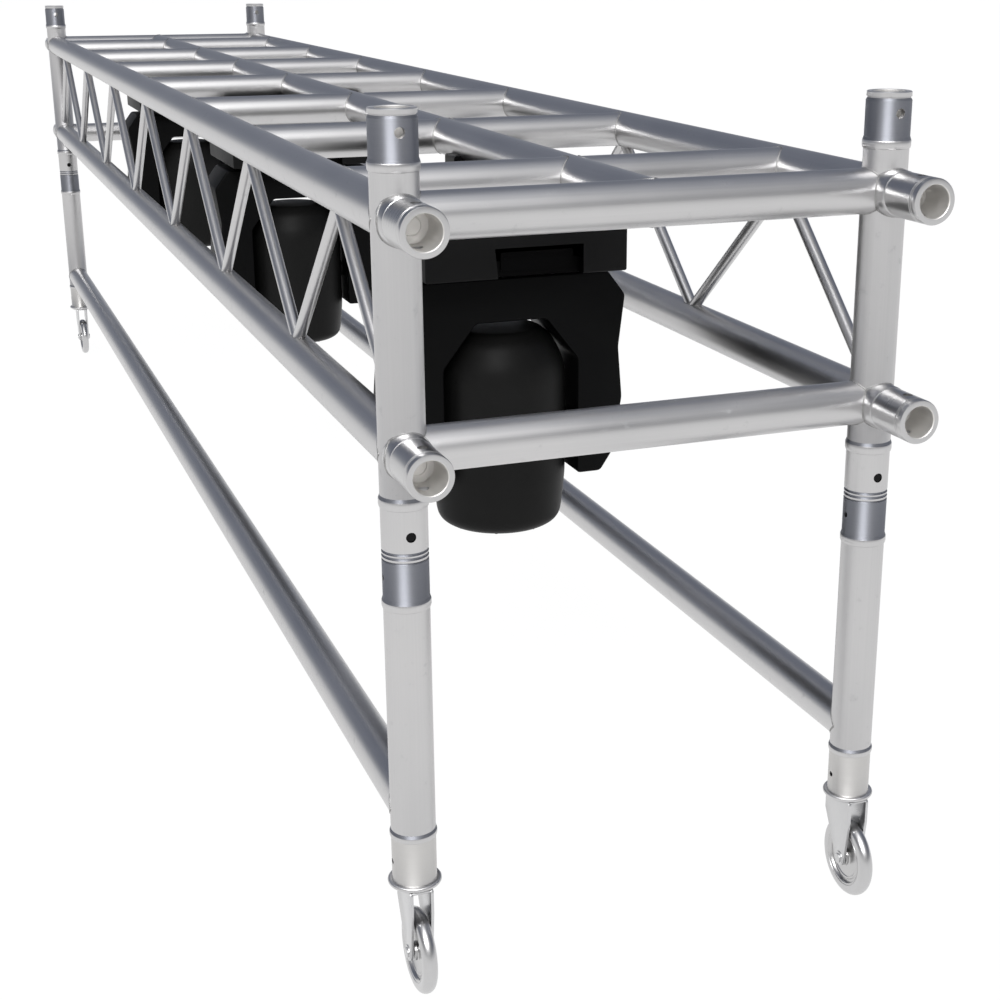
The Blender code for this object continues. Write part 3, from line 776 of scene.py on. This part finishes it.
# %% Weld beads
BEAD = 0.0012
RIPPLE, RIPPLE_STEP = 0.0030, 0.34
BEAD_FACES = 8
SMALL_BEAD, SMALL_RIPPLE = 0.6, 0.8
bead_tree, bead_in, bead_end = node_tree("rippled bead", Radius="Float", Ripple="Float")
shape = bead_in["Geometry"]
path = shape.node("GeometryNodeMeshToCurve", {}, {"Mesh": shape})
steps = {"Curve": path, "Length": bead_in["Ripple"] * RIPPLE_STEP}
path = path.node("GeometryNodeResampleCurve", {"mode": "LENGTH"}, steps)
along = path.node("GeometryNodeSplineParameter", {}, {}, out=1)
phase = along.math("DIVIDE", along * math.pi, bead_in["Ripple"])
wave = phase.node("ShaderNodeMath", {"operation": "SINE"}, {0: phase})
wave = wave.node("ShaderNodeMath", {"operation": "ABSOLUTE"}, {0: wave})
swell = 0.86 + wave * 0.14
around = {"Resolution": BEAD_FACES, "Radius": bead_in["Radius"]}
circle = path.node("GeometryNodeCurvePrimitiveCircle", {}, around)
carry = {"Curve": path, "Profile Curve": circle, "Scale": swell}
bead_end(path.node("GeometryNodeCurveToMesh", {}, carry))

for name, lines in weld_lines.items():
    form = bmesh.new()
    for rim in lines:
        corners = [form.verts.new(point) for point in rim]
        for k in range(len(corners)):
            form.edges.new([corners[k - 1], corners[k]])
    welds = sketched(f"welds_{name}", form)
    values = {"Radius": BEAD, "Ripple": RIPPLE, "Material": WELD}
    if name == "lacing":
        values.update(Radius=BEAD * SMALL_BEAD, Ripple=RIPPLE * SMALL_RIPPLE)
    grown(welds, bead_tree, values)
    alloy(welds)
    print(welds.name, "follows", len(lines), "joints with", len(welds.data.polygons), "faces")

# %% [markdown]
# Sheet metal and housings are drawn as an outline and extruded. Soft corners come from a short curve
# in place of each sharp point, and a bevel breaks the edges that are left, as on any real casting.

# %% Outlines and edges
def eased(points, size, steps=3, ring=False):
    """Round each corner of an outline with a curve that starts size away from it."""
    soft = []
    for k, point in enumerate(points):
        if not ring and k in (0, len(points) - 1):
            soft.append(tuple(point))
            continue
        corner = Vector(point)
        back = Vector(points[k - 1]) - corner
        on = Vector(points[(k + 1) % len(points)]) - corner
        start = corner + back.normalized() * min(size, back.length * 0.45)
        stop = corner + on.normalized() * min(size, on.length * 0.45)
        for step in range(steps + 1):
            share = step / steps
            soft.append(tuple(start.lerp(corner, share).lerp(corner.lerp(stop, share), share)))
    return soft


def prism(outline, low, high, form=None, along="y", look=0):
    """Extrude an outline from low to high, along y for (x, z) points or along x for (y, z) points."""
    form = form or bmesh.new()

    def at(point, level):
        return Vector((point[0], level, point[1])) if along == "y" else Vector((level, point[0], point[1]))

    near = [form.verts.new(at(point, low)) for point in outline]
    far = [form.verts.new(at(point, high)) for point in outline]
    faces = [form.faces.new(near), form.faces.new(far[::-1])]
    for k in range(len(outline)):
        after = (k + 1) % len(outline)
        faces.append(form.faces.new([near[after], near[k], far[k], far[after]]))
    for face in faces:
        face.material_index = look
    return form


def broken_edges(made, width, segments=2, angle=30):
    """Break sharp edges with a bevel."""
    step = made.modifiers.new("edges", "BEVEL")
    step.width, step.segments = width, segments
    step.limit_method, step.angle_limit = "ANGLE", math.radians(angle)
    return settled(made)


print("a softened square has", len(eased([(0, 0), (1, 0), (1, 1), (0, 1)], 0.1, ring=True)), "points")

# %% [markdown]
# A caster's fork is a folded crown with two tapering arms, a bearing cup under the leg's lip, and a
# bolt for an axle. It swivels, and the wheel rolls inside it, so they are two pieces on two bodies.

# %% Caster forks
FORK_INNER, FORK_PLATE, FORK_DEPTH, FORK_SHOULDER, FORK_EYE = 0.0100, 0.0035, 0.055, 0.030, 0.010
CROWN = 0.0035
CUP = 0.0258
BOLT, WASHER, NUT = 0.0048, 0.0085, 0.0066
KINGPIN_LENGTH = 0.029


def fork_form(swivel, axle):
    form = bmesh.new()
    top = swivel.z - CLEARANCE
    half = FORK_DEPTH / 2
    outer = FORK_INNER + FORK_PLATE
    eye = [
        (axle.y + FORK_EYE * math.cos(turn), axle.z + FORK_EYE * math.sin(turn))
        for turn in [math.pi * (1 + step / 10) for step in range(11)]
    ]
    arm = [(swivel.y + half, top), (swivel.y - half, top), (swivel.y - half, top - FORK_SHOULDER)]
    arm = eased(arm, 0.005) + eye + [(swivel.y + half, top - FORK_SHOULDER)]
    for sign in (-1, 1):
        low, high = sorted((swivel.x + sign * FORK_INNER, swivel.x + sign * outer))
        prism(arm, low, high, form, "x")
    crown = [(swivel.y - half + 0.001, top - CROWN), (swivel.y + half - 0.001, top - CROWN)]
    crown += [(swivel.y + half - 0.001, top - 0.0004), (swivel.y - half + 0.001, top - 0.0004)]
    reach = FORK_INNER + 0.0005
    prism(eased(crown, 0.0012, ring=True), swivel.x - reach, swivel.x + reach, form, "x")
    under_leg = (swivel.x, swivel.y, top)
    cup = eased([(0, -0.0030), (CUP - 0.002, -0.0030), (CUP, -0.0010), (CUP, 0), (0, 0)], 0.0008)
    spun(cup, 56, under_leg, form=form)
    spun(rod(KINGPIN, -0.002, KINGPIN_LENGTH), 24, under_leg, form=form)
    spun(rod(BOLT, -outer, outer), 24, axle, X, form)
    nut = [(0, outer), (NUT, outer), (NUT, outer + 0.0026)]
    nut += [(NUT - 0.0008, outer + 0.003), (0, outer + 0.003)]
    for sign in (-1, 1):
        spun(rod(WASHER, outer - 0.0005, outer + 0.0008), 32, axle, X * sign, form)
        spun(nut, 6, axle, X * sign, form)
    return form


for spot in SPOTS:
    form = fork_form(joint_at[f"caster_swivel_{spot}"], joint_at[f"caster_roll_{spot}"])
    fork = piece(f"fork_{spot}", form, ZINC)
    broken_edges(fork, 0.0006, 2, 40)
    dress(fork, f"swivel_{spot}", "zinc_plate", f"caster_fork_{spot}")
print("forks: 4, each with", len(fork.data.polygons), "faces")

# %% [markdown]
# The wheel has a round hard tread, a step where the tread is cast on the disc, a dished side with two
# rings, and a hub. One lathe profile gives it all, and the tread takes its own finish.

# %% Caster wheels
WHEEL_HALF, TREAD_ROUND, TREAD_EDGE = 0.0085, 0.0078, 0.0351
WHEEL_DISC = turned_metal("wheel disc", 0, (0.46, 0.46, 0.465), (0.60, 0.595, 0.59), 0.24)
wheel_radius = joint_at["caster_roll_left_near"].z - 0.0001
side_profile = [
    (0.0053, 0.0080),
    (0.0098, 0.0080),
    (0.0104, 0.0074),
    (0.0108, 0.0050),
    (0.0120, 0.0042),
    (0.0250, 0.0042),
    (0.0262, 0.0050),
    (0.0280, 0.0050),
    (0.0290, 0.0042),
    (0.0318, 0.0042),
    (0.0330, 0.0070),
    (0.0338, 0.0076),
    (0.0350, 0.0078),
]
tread_profile = [(0.0352, 0.0074), (0.0358, 0.0074), (0.0362, 0.0080), (0.0385, 0.00845)]
tread_profile += [
    (wheel_radius - TREAD_ROUND + TREAD_ROUND * math.sin(turn), WHEEL_HALF * math.cos(turn))
    for turn in [math.pi / 2 * (0.12 + 0.88 * step / 9) for step in range(10)]
]
half = side_profile + tread_profile
whole = half + [(radius, -height) for radius, height in reversed(half[:-1])] + [half[0]]
for spot in SPOTS:
    at = joint_at[f"caster_roll_{spot}"]
    form = spun(whole, LATHE_FACES, at, X)
    for face in form.faces:
        off = face.calc_center_median() - at
        face.material_index = int(Vector((0, off.y, off.z)).length > TREAD_EDGE)
    wheel = piece(f"wheel_{spot}", form, WHEEL_DISC, TREAD)
    dress(wheel, f"wheel_{spot}", "wheel_grey", f"caster_wheel_{spot}")
print("wheels: 4 of", round(2 * wheel_radius * 1000, 1), "mm")

# %% [markdown]
# Each light's base is a moulded box in two shells with a shadow gap, a recess in its front, and two
# saddles that hug the centre chord. The recess is cut, and the saddles are extruded from an outline
# that has the chord's round in it. The walls of the recess take a duller black than the shell, and
# a darker one, which is painted shade in the recess.

# %% Light bases
BASE_HALF, BASE_LENGTH = 0.1365, 0.250
RECESS_LEFT, RECESS_RIGHT, RECESS_HEIGHT = -0.040, 0.075, 0.039
RECESS_DEPTH, RECESS_FLARE = 0.018, 0.005
SADDLE_HALF, SADDLE_LENGTH, SADDLE_SPACING = 0.032, 0.040, 0.190
PAN, PAN_SEAT = 0.030, 0.012
base_high = TOP - TUBE - 0.003
SEAM, SHADOW_GAP, CORE_INSET = 0.072, 0.0016, 0.0022
OVERCUT = 0.02
BASE_LOOKS = (HOUSING, SMOOTH_BLACK, RECESS_SHADE_BLACK)


def melted(*made):
    """The faces of finished pieces as one bmesh, in place of those pieces."""
    form = bmesh.new()
    for one in made:
        form.from_mesh(one.data)
    discard(*made)
    return form


def light_base(name, y, z):
    lower, upper = (z, z + SEAM, 0), (z + SEAM + SHADOW_GAP, base_high, 0)
    core = (z + 0.02, base_high - 0.01, CORE_INSET)
    front, back = y - BASE_LENGTH / 2, y + BASE_LENGTH / 2
    shells = []
    for low, high, inset in (lower, upper, core):
        half = BASE_HALF - inset
        box = [(-half, low), (half, low), (half, high), (-half, high)]
        form = prism(box, front + inset, back - inset)
        shells.append(piece(f"{name}_shell", form, *BASE_LOOKS))
        if not inset:
            broken_edges(shells[-1], 0.003, 3)
    hollow = [(RECESS_LEFT, z - OVERCUT / 2), (RECESS_RIGHT, z - OVERCUT / 2)]
    hollow += [(RECESS_RIGHT, z + RECESS_HEIGHT), (RECESS_LEFT - RECESS_FLARE, z + RECESS_HEIGHT)]
    # The recess walls take the third look, the darker black that paints the shade in the recess.
    recess = prism(hollow, front - OVERCUT, front + RECESS_DEPTH, look=2)
    pan_hole = spun(rod(PAN + CLEARANCE, -OVERCUT, PAN_SEAT), 48, (0, y, z))
    tools = [piece("recess", recess, *BASE_LOOKS), piece("pan seat", pan_hole, *BASE_LOOKS)]
    for shell in (shells[0], shells[2]):
        cut(shell, tools)
    form = melted(*shells)
    discard(*tools)
    lip = TOP - TUBE / 2
    hug = TUBE + CLEARANCE
    reach = math.acos((TOP - lip) / hug)
    turns = [reach * (1 - step / 8) for step in range(17)]
    round_of_chord = [(hug * math.sin(turn), TOP - hug * math.cos(turn)) for turn in turns]
    block = [(-SADDLE_HALF, base_high - 0.003), (SADDLE_HALF, base_high - 0.003)]
    block += eased([(SADDLE_HALF, base_high), (SADDLE_HALF, lip), round_of_chord[0]], 0.004)[1:-1]
    block += round_of_chord
    block += eased([round_of_chord[-1], (-SADDLE_HALF, lip), (-SADDLE_HALF, base_high)], 0.004)[1:-1]
    for step in (-SADDLE_SPACING / 2, SADDLE_SPACING / 2):
        prism(block, y + step - SADDLE_LENGTH / 2, y + step + SADDLE_LENGTH / 2, form, look=1)
    # The panel in the recess takes the same darker black, painted shade.
    left, right, low, high = RECESS_LEFT + 0.008, RECESS_RIGHT - 0.008, z + 0.007, z + 0.031
    panel = eased([(left, low), (right, low), (right, high), (left, high)], 0.003, ring=True)
    prism(panel, front + RECESS_DEPTH - 0.0022, front + RECESS_DEPTH + 0.001, form, look=2)
    return piece(name, form, *BASE_LOOKS)


for light in LIGHTS:
    pan = joint_at[f"light_pan_{light}"]
    base = light_base(f"base_{light}", pan.y, pan.z)
    dress(base, "truss", "black_housing", f"light_base_{light}")
print("bases: 3, each with", len(base.data.polygons), "faces")

# %% [markdown]
# The yoke is one casting with an arch above the head and two arms that hold it. Its outline is drawn
# once, mirrored, extruded and its edges broken. Round covers over the pivots and a turned pan ring
# finish it.

# %% Light yokes
ARM_INNER, ARM_WIDTH, ARM_TAIL, WAIST = 0.0945, 0.0685, 0.064, 0.009
YOKE_TOP_HALF, SHOULDER_DROP, ARCH_RISE, ARCH_HALF = 0.137, 0.034, 0.156, 0.049
YOKE_HALF = 0.060
COVER, COVER_SETBACK = 0.030, 0.18
YOKE_LOOKS = (CAST_BLACK, SMOOTH_BLACK)
TRUNNION, TRUNNION_REACH = 0.015, 0.018
PAN_SPACE = 0.011


def light_yoke(name, pan, tilt):
    y, outer = tilt.y, ARM_INNER + ARM_WIDTH
    top = pan.z - PAN_SPACE
    half = [
        (YOKE_TOP_HALF, top),
        (outer, top - SHOULDER_DROP),
        (outer - WAIST, tilt.z + ARCH_RISE * 0.7),
        (outer - WAIST / 3, tilt.z + ARM_TAIL * 0.6),
        (outer - ARM_WIDTH / 4, tilt.z - ARM_TAIL * 0.6),
        (outer - ARM_WIDTH / 2, tilt.z - ARM_TAIL),
        (ARM_INNER, tilt.z - ARM_TAIL),
        (ARM_INNER, tilt.z + ARCH_RISE * 0.63),
        (ARCH_HALF, tilt.z + ARCH_RISE),
    ]
    outline = eased(half + [(-x, z) for x, z in reversed(half)], 0.005, 3, ring=True)
    body = piece(name, prism(outline, y - YOKE_HALF, y + YOKE_HALF), *YOKE_LOOKS)
    form = melted(broken_edges(body, 0.003, 3, 40))
    boss = PAN_SPACE + PAN_SEAT - 0.0005
    ring = [(0, -0.02), (0.046, -0.02), (0.046, 0.0035), (0.042, 0.005)]
    ring += [(PAN, 0.005), (PAN, boss), (0, boss)]
    spun(eased(ring, 0.001), 56, (0, y, top), form=form, look=1)
    yoke = piece(name, form, *YOKE_LOOKS)
    reach = ARM_INNER + TRUNNION_REACH + CLEARANCE
    form = melted(drilled(yoke, [(Vector((0, y, tilt.z)), X, TRUNNION + CLEARANCE, reach)], 40))
    face_x = outer - ARM_WIDTH * COVER_SETBACK
    cover = [(0, -0.004), (COVER, -0.004), (COVER, 0.0040), (0.022, 0.0052), (0, 0.0052)]
    for sign in (-1, 1):
        spun(eased(cover, 0.0015), 48, (sign * face_x, y, tilt.z), X * sign, form, look=1)
    return piece(name, form, *YOKE_LOOKS)


for light in LIGHTS:
    yoke = light_yoke(f"yoke_{light}", joint_at[f"light_pan_{light}"], joint_at[f"light_tilt_{light}"])
    dress(yoke, f"yoke_{light}", "black_housing", f"light_yoke_{light}")
print("yokes: 3, each with", len(yoke.data.polygons), "faces")

# %% [markdown]
# The head is a barrel with a soft shoulder above and a lens below. The shell is one lathe profile.
# The lens faces the floor, so its form is a guess: it is stepped in rings, like many stage lenses.

# %% Light heads
HEAD, HEAD_RISE, HEAD_DROP = 0.092, 0.139, 0.135
LENS, LENS_SETBACK, LENS_RINGS = 0.066, 0.005, 12


def light_head(name, tilt):
    form = bmesh.new()
    lens = [(0, -HEAD_DROP + 0.0022)]
    for ring in range(1, LENS_RINGS):
        radius = LENS * ring / LENS_RINGS
        lens.append((radius - 0.0008, -HEAD_DROP + 0.0022 + 0.0002 * ring))
        lens.append((radius, -HEAD_DROP + 0.0034 + 0.0002 * ring))
    lens += [(LENS - 0.0004, -HEAD_DROP + LENS_SETBACK), (0, -HEAD_DROP + LENS_SETBACK + 0.002)]
    spun(lens, LATHE_FACES, tilt, form=form, look=2)
    shell = [
        (0, -HEAD_DROP + LENS_SETBACK),
        (LENS, -HEAD_DROP + LENS_SETBACK),
        (LENS, -HEAD_DROP + 0.0008),
        (LENS + 0.001, -HEAD_DROP),
        (HEAD * 0.78, -HEAD_DROP),
        (HEAD * 0.885, -HEAD_DROP * 0.955),
        (HEAD * 0.935, -HEAD_DROP * 0.89),
        (HEAD * 0.972, -HEAD_DROP * 0.68),
        (HEAD, -ARM_TAIL),
        (HEAD, HEAD_RISE * 0.55),
        (HEAD * 0.965, HEAD_RISE * 0.68),
        (HEAD * 0.9, HEAD_RISE * 0.78),
        (HEAD * 0.80, HEAD_RISE * 0.90),
        (HEAD * 0.62, HEAD_RISE),
        (0, HEAD_RISE),
    ]
    spun(eased(shell, 0.007, 4), 96, tilt, form=form)
    reach = ARM_INNER + TRUNNION_REACH - CLEARANCE
    spun(rod(TRUNNION, -reach, reach), 40, tilt, X, form, look=1)
    return piece(name, form, HEAD_BLACK, SMOOTH_BLACK, GLASS)


for light in LIGHTS:
    head = light_head(f"head_{light}", joint_at[f"light_tilt_{light}"])
    dress(head, f"head_{light}", "black_housing", f"light_head_{light}")
print("heads: 3, each with", len(head.data.polygons), "faces")

# %% [markdown]
# Small screws close the housings, at places that are guessed. One turned screw head is set on points
# that carry the direction each screw faces, by a tree that turns every copy to its point.

# %% Housing screws
SCREW = [(0, 0.0004), (0.0012, 0.0004), (0.0014, 0.0018), (0.0024, 0.0018)]
SCREW += [(0.0029, 0.0012), (0.0029, -0.001), (0, -0.001)]
SCREW_X, SCREW_Y, SCREW_HEIGHTS = 0.122, 0.110, (0.058, 0.096)
COVER_SCREWS, LENS_SCREWS = 0.0245, 0.0690
screw_tree, screw_in, screw_end = node_tree("screws on points", Screw="Object", Size="Float")
shape = screw_in["Geometry"]
facing = shape.node("GeometryNodeInputNamedAttribute", {"data_type": "FLOAT_VECTOR"}, {"Name": "facing"})
turn = shape.node("FunctionNodeAlignRotationToVector", {"axis": "Z"}, {"Vector": facing})
source = shape.node("GeometryNodeObjectInfo", {}, {"Object": screw_in["Screw"]}, out=4)
spread = {"Points": shape, "Instance": source, "Rotation": turn, "Scale": screw_in["Size"]}
screw_end(shape.node("GeometryNodeInstanceOnPoints", {}, spread))
screw_head = piece("screw head", spun(SCREW, 12), ZINC)


def screws(name, points, body):
    mesh = bpy.data.meshes.new(name)
    mesh.from_pydata([point for point, _ in points], [], [])
    facing = mesh.attributes.new("facing", "FLOAT_VECTOR", "POINT")
    for item, (_, way) in zip(facing.data, points):
        item.vector = way
    made = linked(name, mesh)
    grown(made, screw_tree, {"Screw": screw_head, "Size": 1.0, "Material": SMOOTH_BLACK})
    dress(made, body, "black_housing")
    return len(points)


count = 0
for light in LIGHTS:
    pan, tilt = joint_at[f"light_pan_{light}"], joint_at[f"light_tilt_{light}"]
    corners = [(s, y) for s in (-1, 1) for y in (-SCREW_Y, SCREW_Y)]
    below = [(pan + Vector((s * SCREW_X, y, 0)), -Z) for s, y in corners]
    sides = [(pan + Vector((s * BASE_HALF, y, h)), X * s) for s, y in corners for h in SCREW_HEIGHTS]
    count += screws(f"base_screws_{light}", below + sides, "truss")
    face_x = ARM_INNER + ARM_WIDTH * (1 - COVER_SETBACK) + 0.0048
    ring = [
        (tilt + Vector((s * face_x, COVER_SCREWS * math.cos(a), COVER_SCREWS * math.sin(a))), X * s)
        for s in (-1, 1)
        for a in [math.pi / 4 + math.pi / 2 * k for k in range(4)]
    ]
    count += screws(f"yoke_screws_{light}", ring, f"yoke_{light}")
    rim = [
        (tilt + Vector((LENS_SCREWS * math.cos(a), LENS_SCREWS * math.sin(a), 0.0016 - HEAD_DROP)), -Z)
        for a in [math.pi / 4 * (k + 0.5) for k in range(8)]
    ]
    count += screws(f"head_screws_{light}", rim, f"head_{light}")
discard(screw_head)
print("screws:", count)

# %% [markdown]
# The studio is plain. The floor is pale and glows to the camera, so that it runs into the white behind
# it without a line. A small share of it is plain paint, which takes the shadow under the object.

# %% Floor
FLOOR_SIZE = 40.0
FLOOR_GLOW, FLOOR_SHARE = 1.03, 0.955


def emptied(block):
    """The node tree of a material or world, with nothing in it."""
    block.use_nodes = True
    block.node_tree.nodes.clear()
    return block.node_tree


def any_ray(tree, *kinds):
    """1 for a ray of any of these kinds, and 0 for all others."""
    ray = tree.nodes.new("ShaderNodeLightPath")
    found, *others = (Link(tree, ray.outputs[f"Is {kind} Ray"]) for kind in kinds)
    for other in others:
        found = found.math("MAXIMUM", found, other)
    return found


form = bmesh.new()
bmesh.ops.create_grid(form, x_segments=2, y_segments=2, size=FLOOR_SIZE)
floor_paint = bpy.data.materials.new("pale floor")
tree = emptied(floor_paint)
seen = any_ray(tree, "Camera", "Glossy", "Transmission")
paint = seen.node("ShaderNodeBsdfDiffuse", {}, {"Color": (0.86, 0.86, 0.86, 1.0)})
glow = seen.node("ShaderNodeEmission", {}, {"Color": (1.0, 1.0, 1.0, 1.0), "Strength": FLOOR_GLOW})
both = seen.node("ShaderNodeMixShader", {}, {0: seen * FLOOR_SHARE, 1: paint, 2: glow})
tree.links.new(both.socket, tree.nodes.new("ShaderNodeOutputMaterial").inputs["Surface"])
floor = piece("floor", form, floor_paint)
print("floor:", len(floor.data.polygons), "faces")

# %% [markdown]
# The world is white to the camera. In a reflection it is cool and dark behind the object and at the
# sides, and bright high up behind the camera, like a large soft box in a dim hall. That draws the
# dark and bright bands on the tubes. Two lamps add soft shadows.

# %% World and lamps
SKY_STRENGTH = 1.5
world = bpy.data.worlds.new("white cove")
bpy.context.scene.world = world
tree = emptied(world)
way = Link(tree, tree.nodes.new("ShaderNodeTexCoord").outputs["Generated"])
height = way.node("ShaderNodeSeparateXYZ", {}, {"Vector": way}, out=2)
BEHIND = [
    (0.0, (0.58, 0.58, 0.58)),
    (0.04, (0.38, 0.39, 0.41)),
    (0.12, (0.165, 0.178, 0.212)),
    (0.42, (0.105, 0.117, 0.152)),
    (0.75, (0.130, 0.142, 0.176)),
    (0.92, (0.20, 0.212, 0.245)),
    (1.0, (0.24, 0.25, 0.28)),
]
BESIDE = [
    (0.0, (0.61, 0.61, 0.61)),
    (0.10, (0.58, 0.58, 0.58)),
    (0.19, (0.20, 0.202, 0.213)),
    (0.28, (0.155, 0.157, 0.170)),
    (0.50, (0.215, 0.217, 0.230)),
    (0.85, (0.265, 0.267, 0.278)),
    (1.0, (0.25, 0.256, 0.280)),
]
SOFT_BOX = [
    (0.0, (0.61, 0.61, 0.61)),
    (0.10, (0.58, 0.58, 0.58)),
    (0.19, (0.25, 0.25, 0.26)),
    (0.30, (0.24, 0.24, 0.248)),
    (0.42, (0.50, 0.50, 0.50)),
    (0.55, (0.90, 0.90, 0.90)),
    (0.70, (1.36, 1.36, 1.36)),
    (0.85, (1.56, 1.56, 1.56)),
    (0.95, (1.40, 1.40, 1.40)),
    (1.0, (0.80, 0.80, 0.81)),
]
TO_CAMERA = (-0.37, -0.93, 0.0)
level_way = way.node("ShaderNodeVectorMath", {"operation": "MULTIPLY"}, {0: way, 1: (1.0, 1.0, 0.0)})
level_way = way.node("ShaderNodeVectorMath", {"operation": "NORMALIZE"}, {0: level_way})
front = way.node("ShaderNodeVectorMath", {"operation": "DOT_PRODUCT"}, {0: level_way, 1: TO_CAMERA}, out=1)
cove = height.node("ShaderNodeValToRGB", {"stops": BEHIND}, {"Fac": height})
for stops, edge, full in ((BESIDE, -0.05, 0.45), (SOFT_BOX, 0.60, 0.98)):
    part = height.node("ShaderNodeValToRGB", {"stops": stops}, {"Fac": height})
    pair = {0: front.above(edge, full), 6: cove, 7: part}
    cove = height.node("ShaderNodeMix", {"data_type": "RGBA"}, pair, out=2)
sky = height.node("ShaderNodeBackground", {}, {"Color": cove, "Strength": SKY_STRENGTH})
white = height.node("ShaderNodeBackground", {}, {"Color": (1, 1, 1, 1), "Strength": 1.0})
direct = any_ray(tree, "Camera", "Transmission")
mixed = height.node("ShaderNodeMixShader", {}, {0: direct, 1: sky, 2: white})
tree.links.new(mixed.socket, tree.nodes.new("ShaderNodeOutputWorld").inputs["Surface"])


def soft_box(name, at, size, power, target=(0, 0, 0.6)):
    lamp = bpy.data.lights.new(name, "AREA")
    lamp.shape, lamp.size, lamp.size_y, lamp.energy = "RECTANGLE", size[0], size[1], power
    box = linked(name, lamp)
    box.location = at
    box.rotation_euler = (Vector(target) - Vector(at)).to_track_quat("-Z", "Y").to_euler()


soft_box("overhead box", (-0.6, -2.2, 4.4), (3.0, 3.0), 16)
soft_box("front box", (-1.95, -4.7, 3.9), (2.8, 1.5), 190)
print("world with", len(BEHIND + BESIDE + SOFT_BOX), "stops of colour, and 2 lamps")

# %% [markdown]
# The camera stands where the photograph's perspective puts it: near the left post, a little above the
# top chord, with a long-normal lens. The small shift gives the photograph's framing.

# %% Camera
camera = bpy.data.cameras.new("camera")
camera.lens, camera.sensor_width = 59.47, 36.0
camera.shift_x, camera.shift_y = -0.06346, -0.01403
eye = linked("camera", camera)
eye.location = (-0.72622, -3.26052, BOTTOM + 0.48812)
eye.rotation_euler = [math.radians(angle) for angle in (72.116, -0.075, -21.665)]
bpy.context.scene.camera = eye
bpy.context.scene.view_settings.view_transform = "Standard"
print("camera at", [round(v, 3) for v in eye.location])

# %% [markdown]
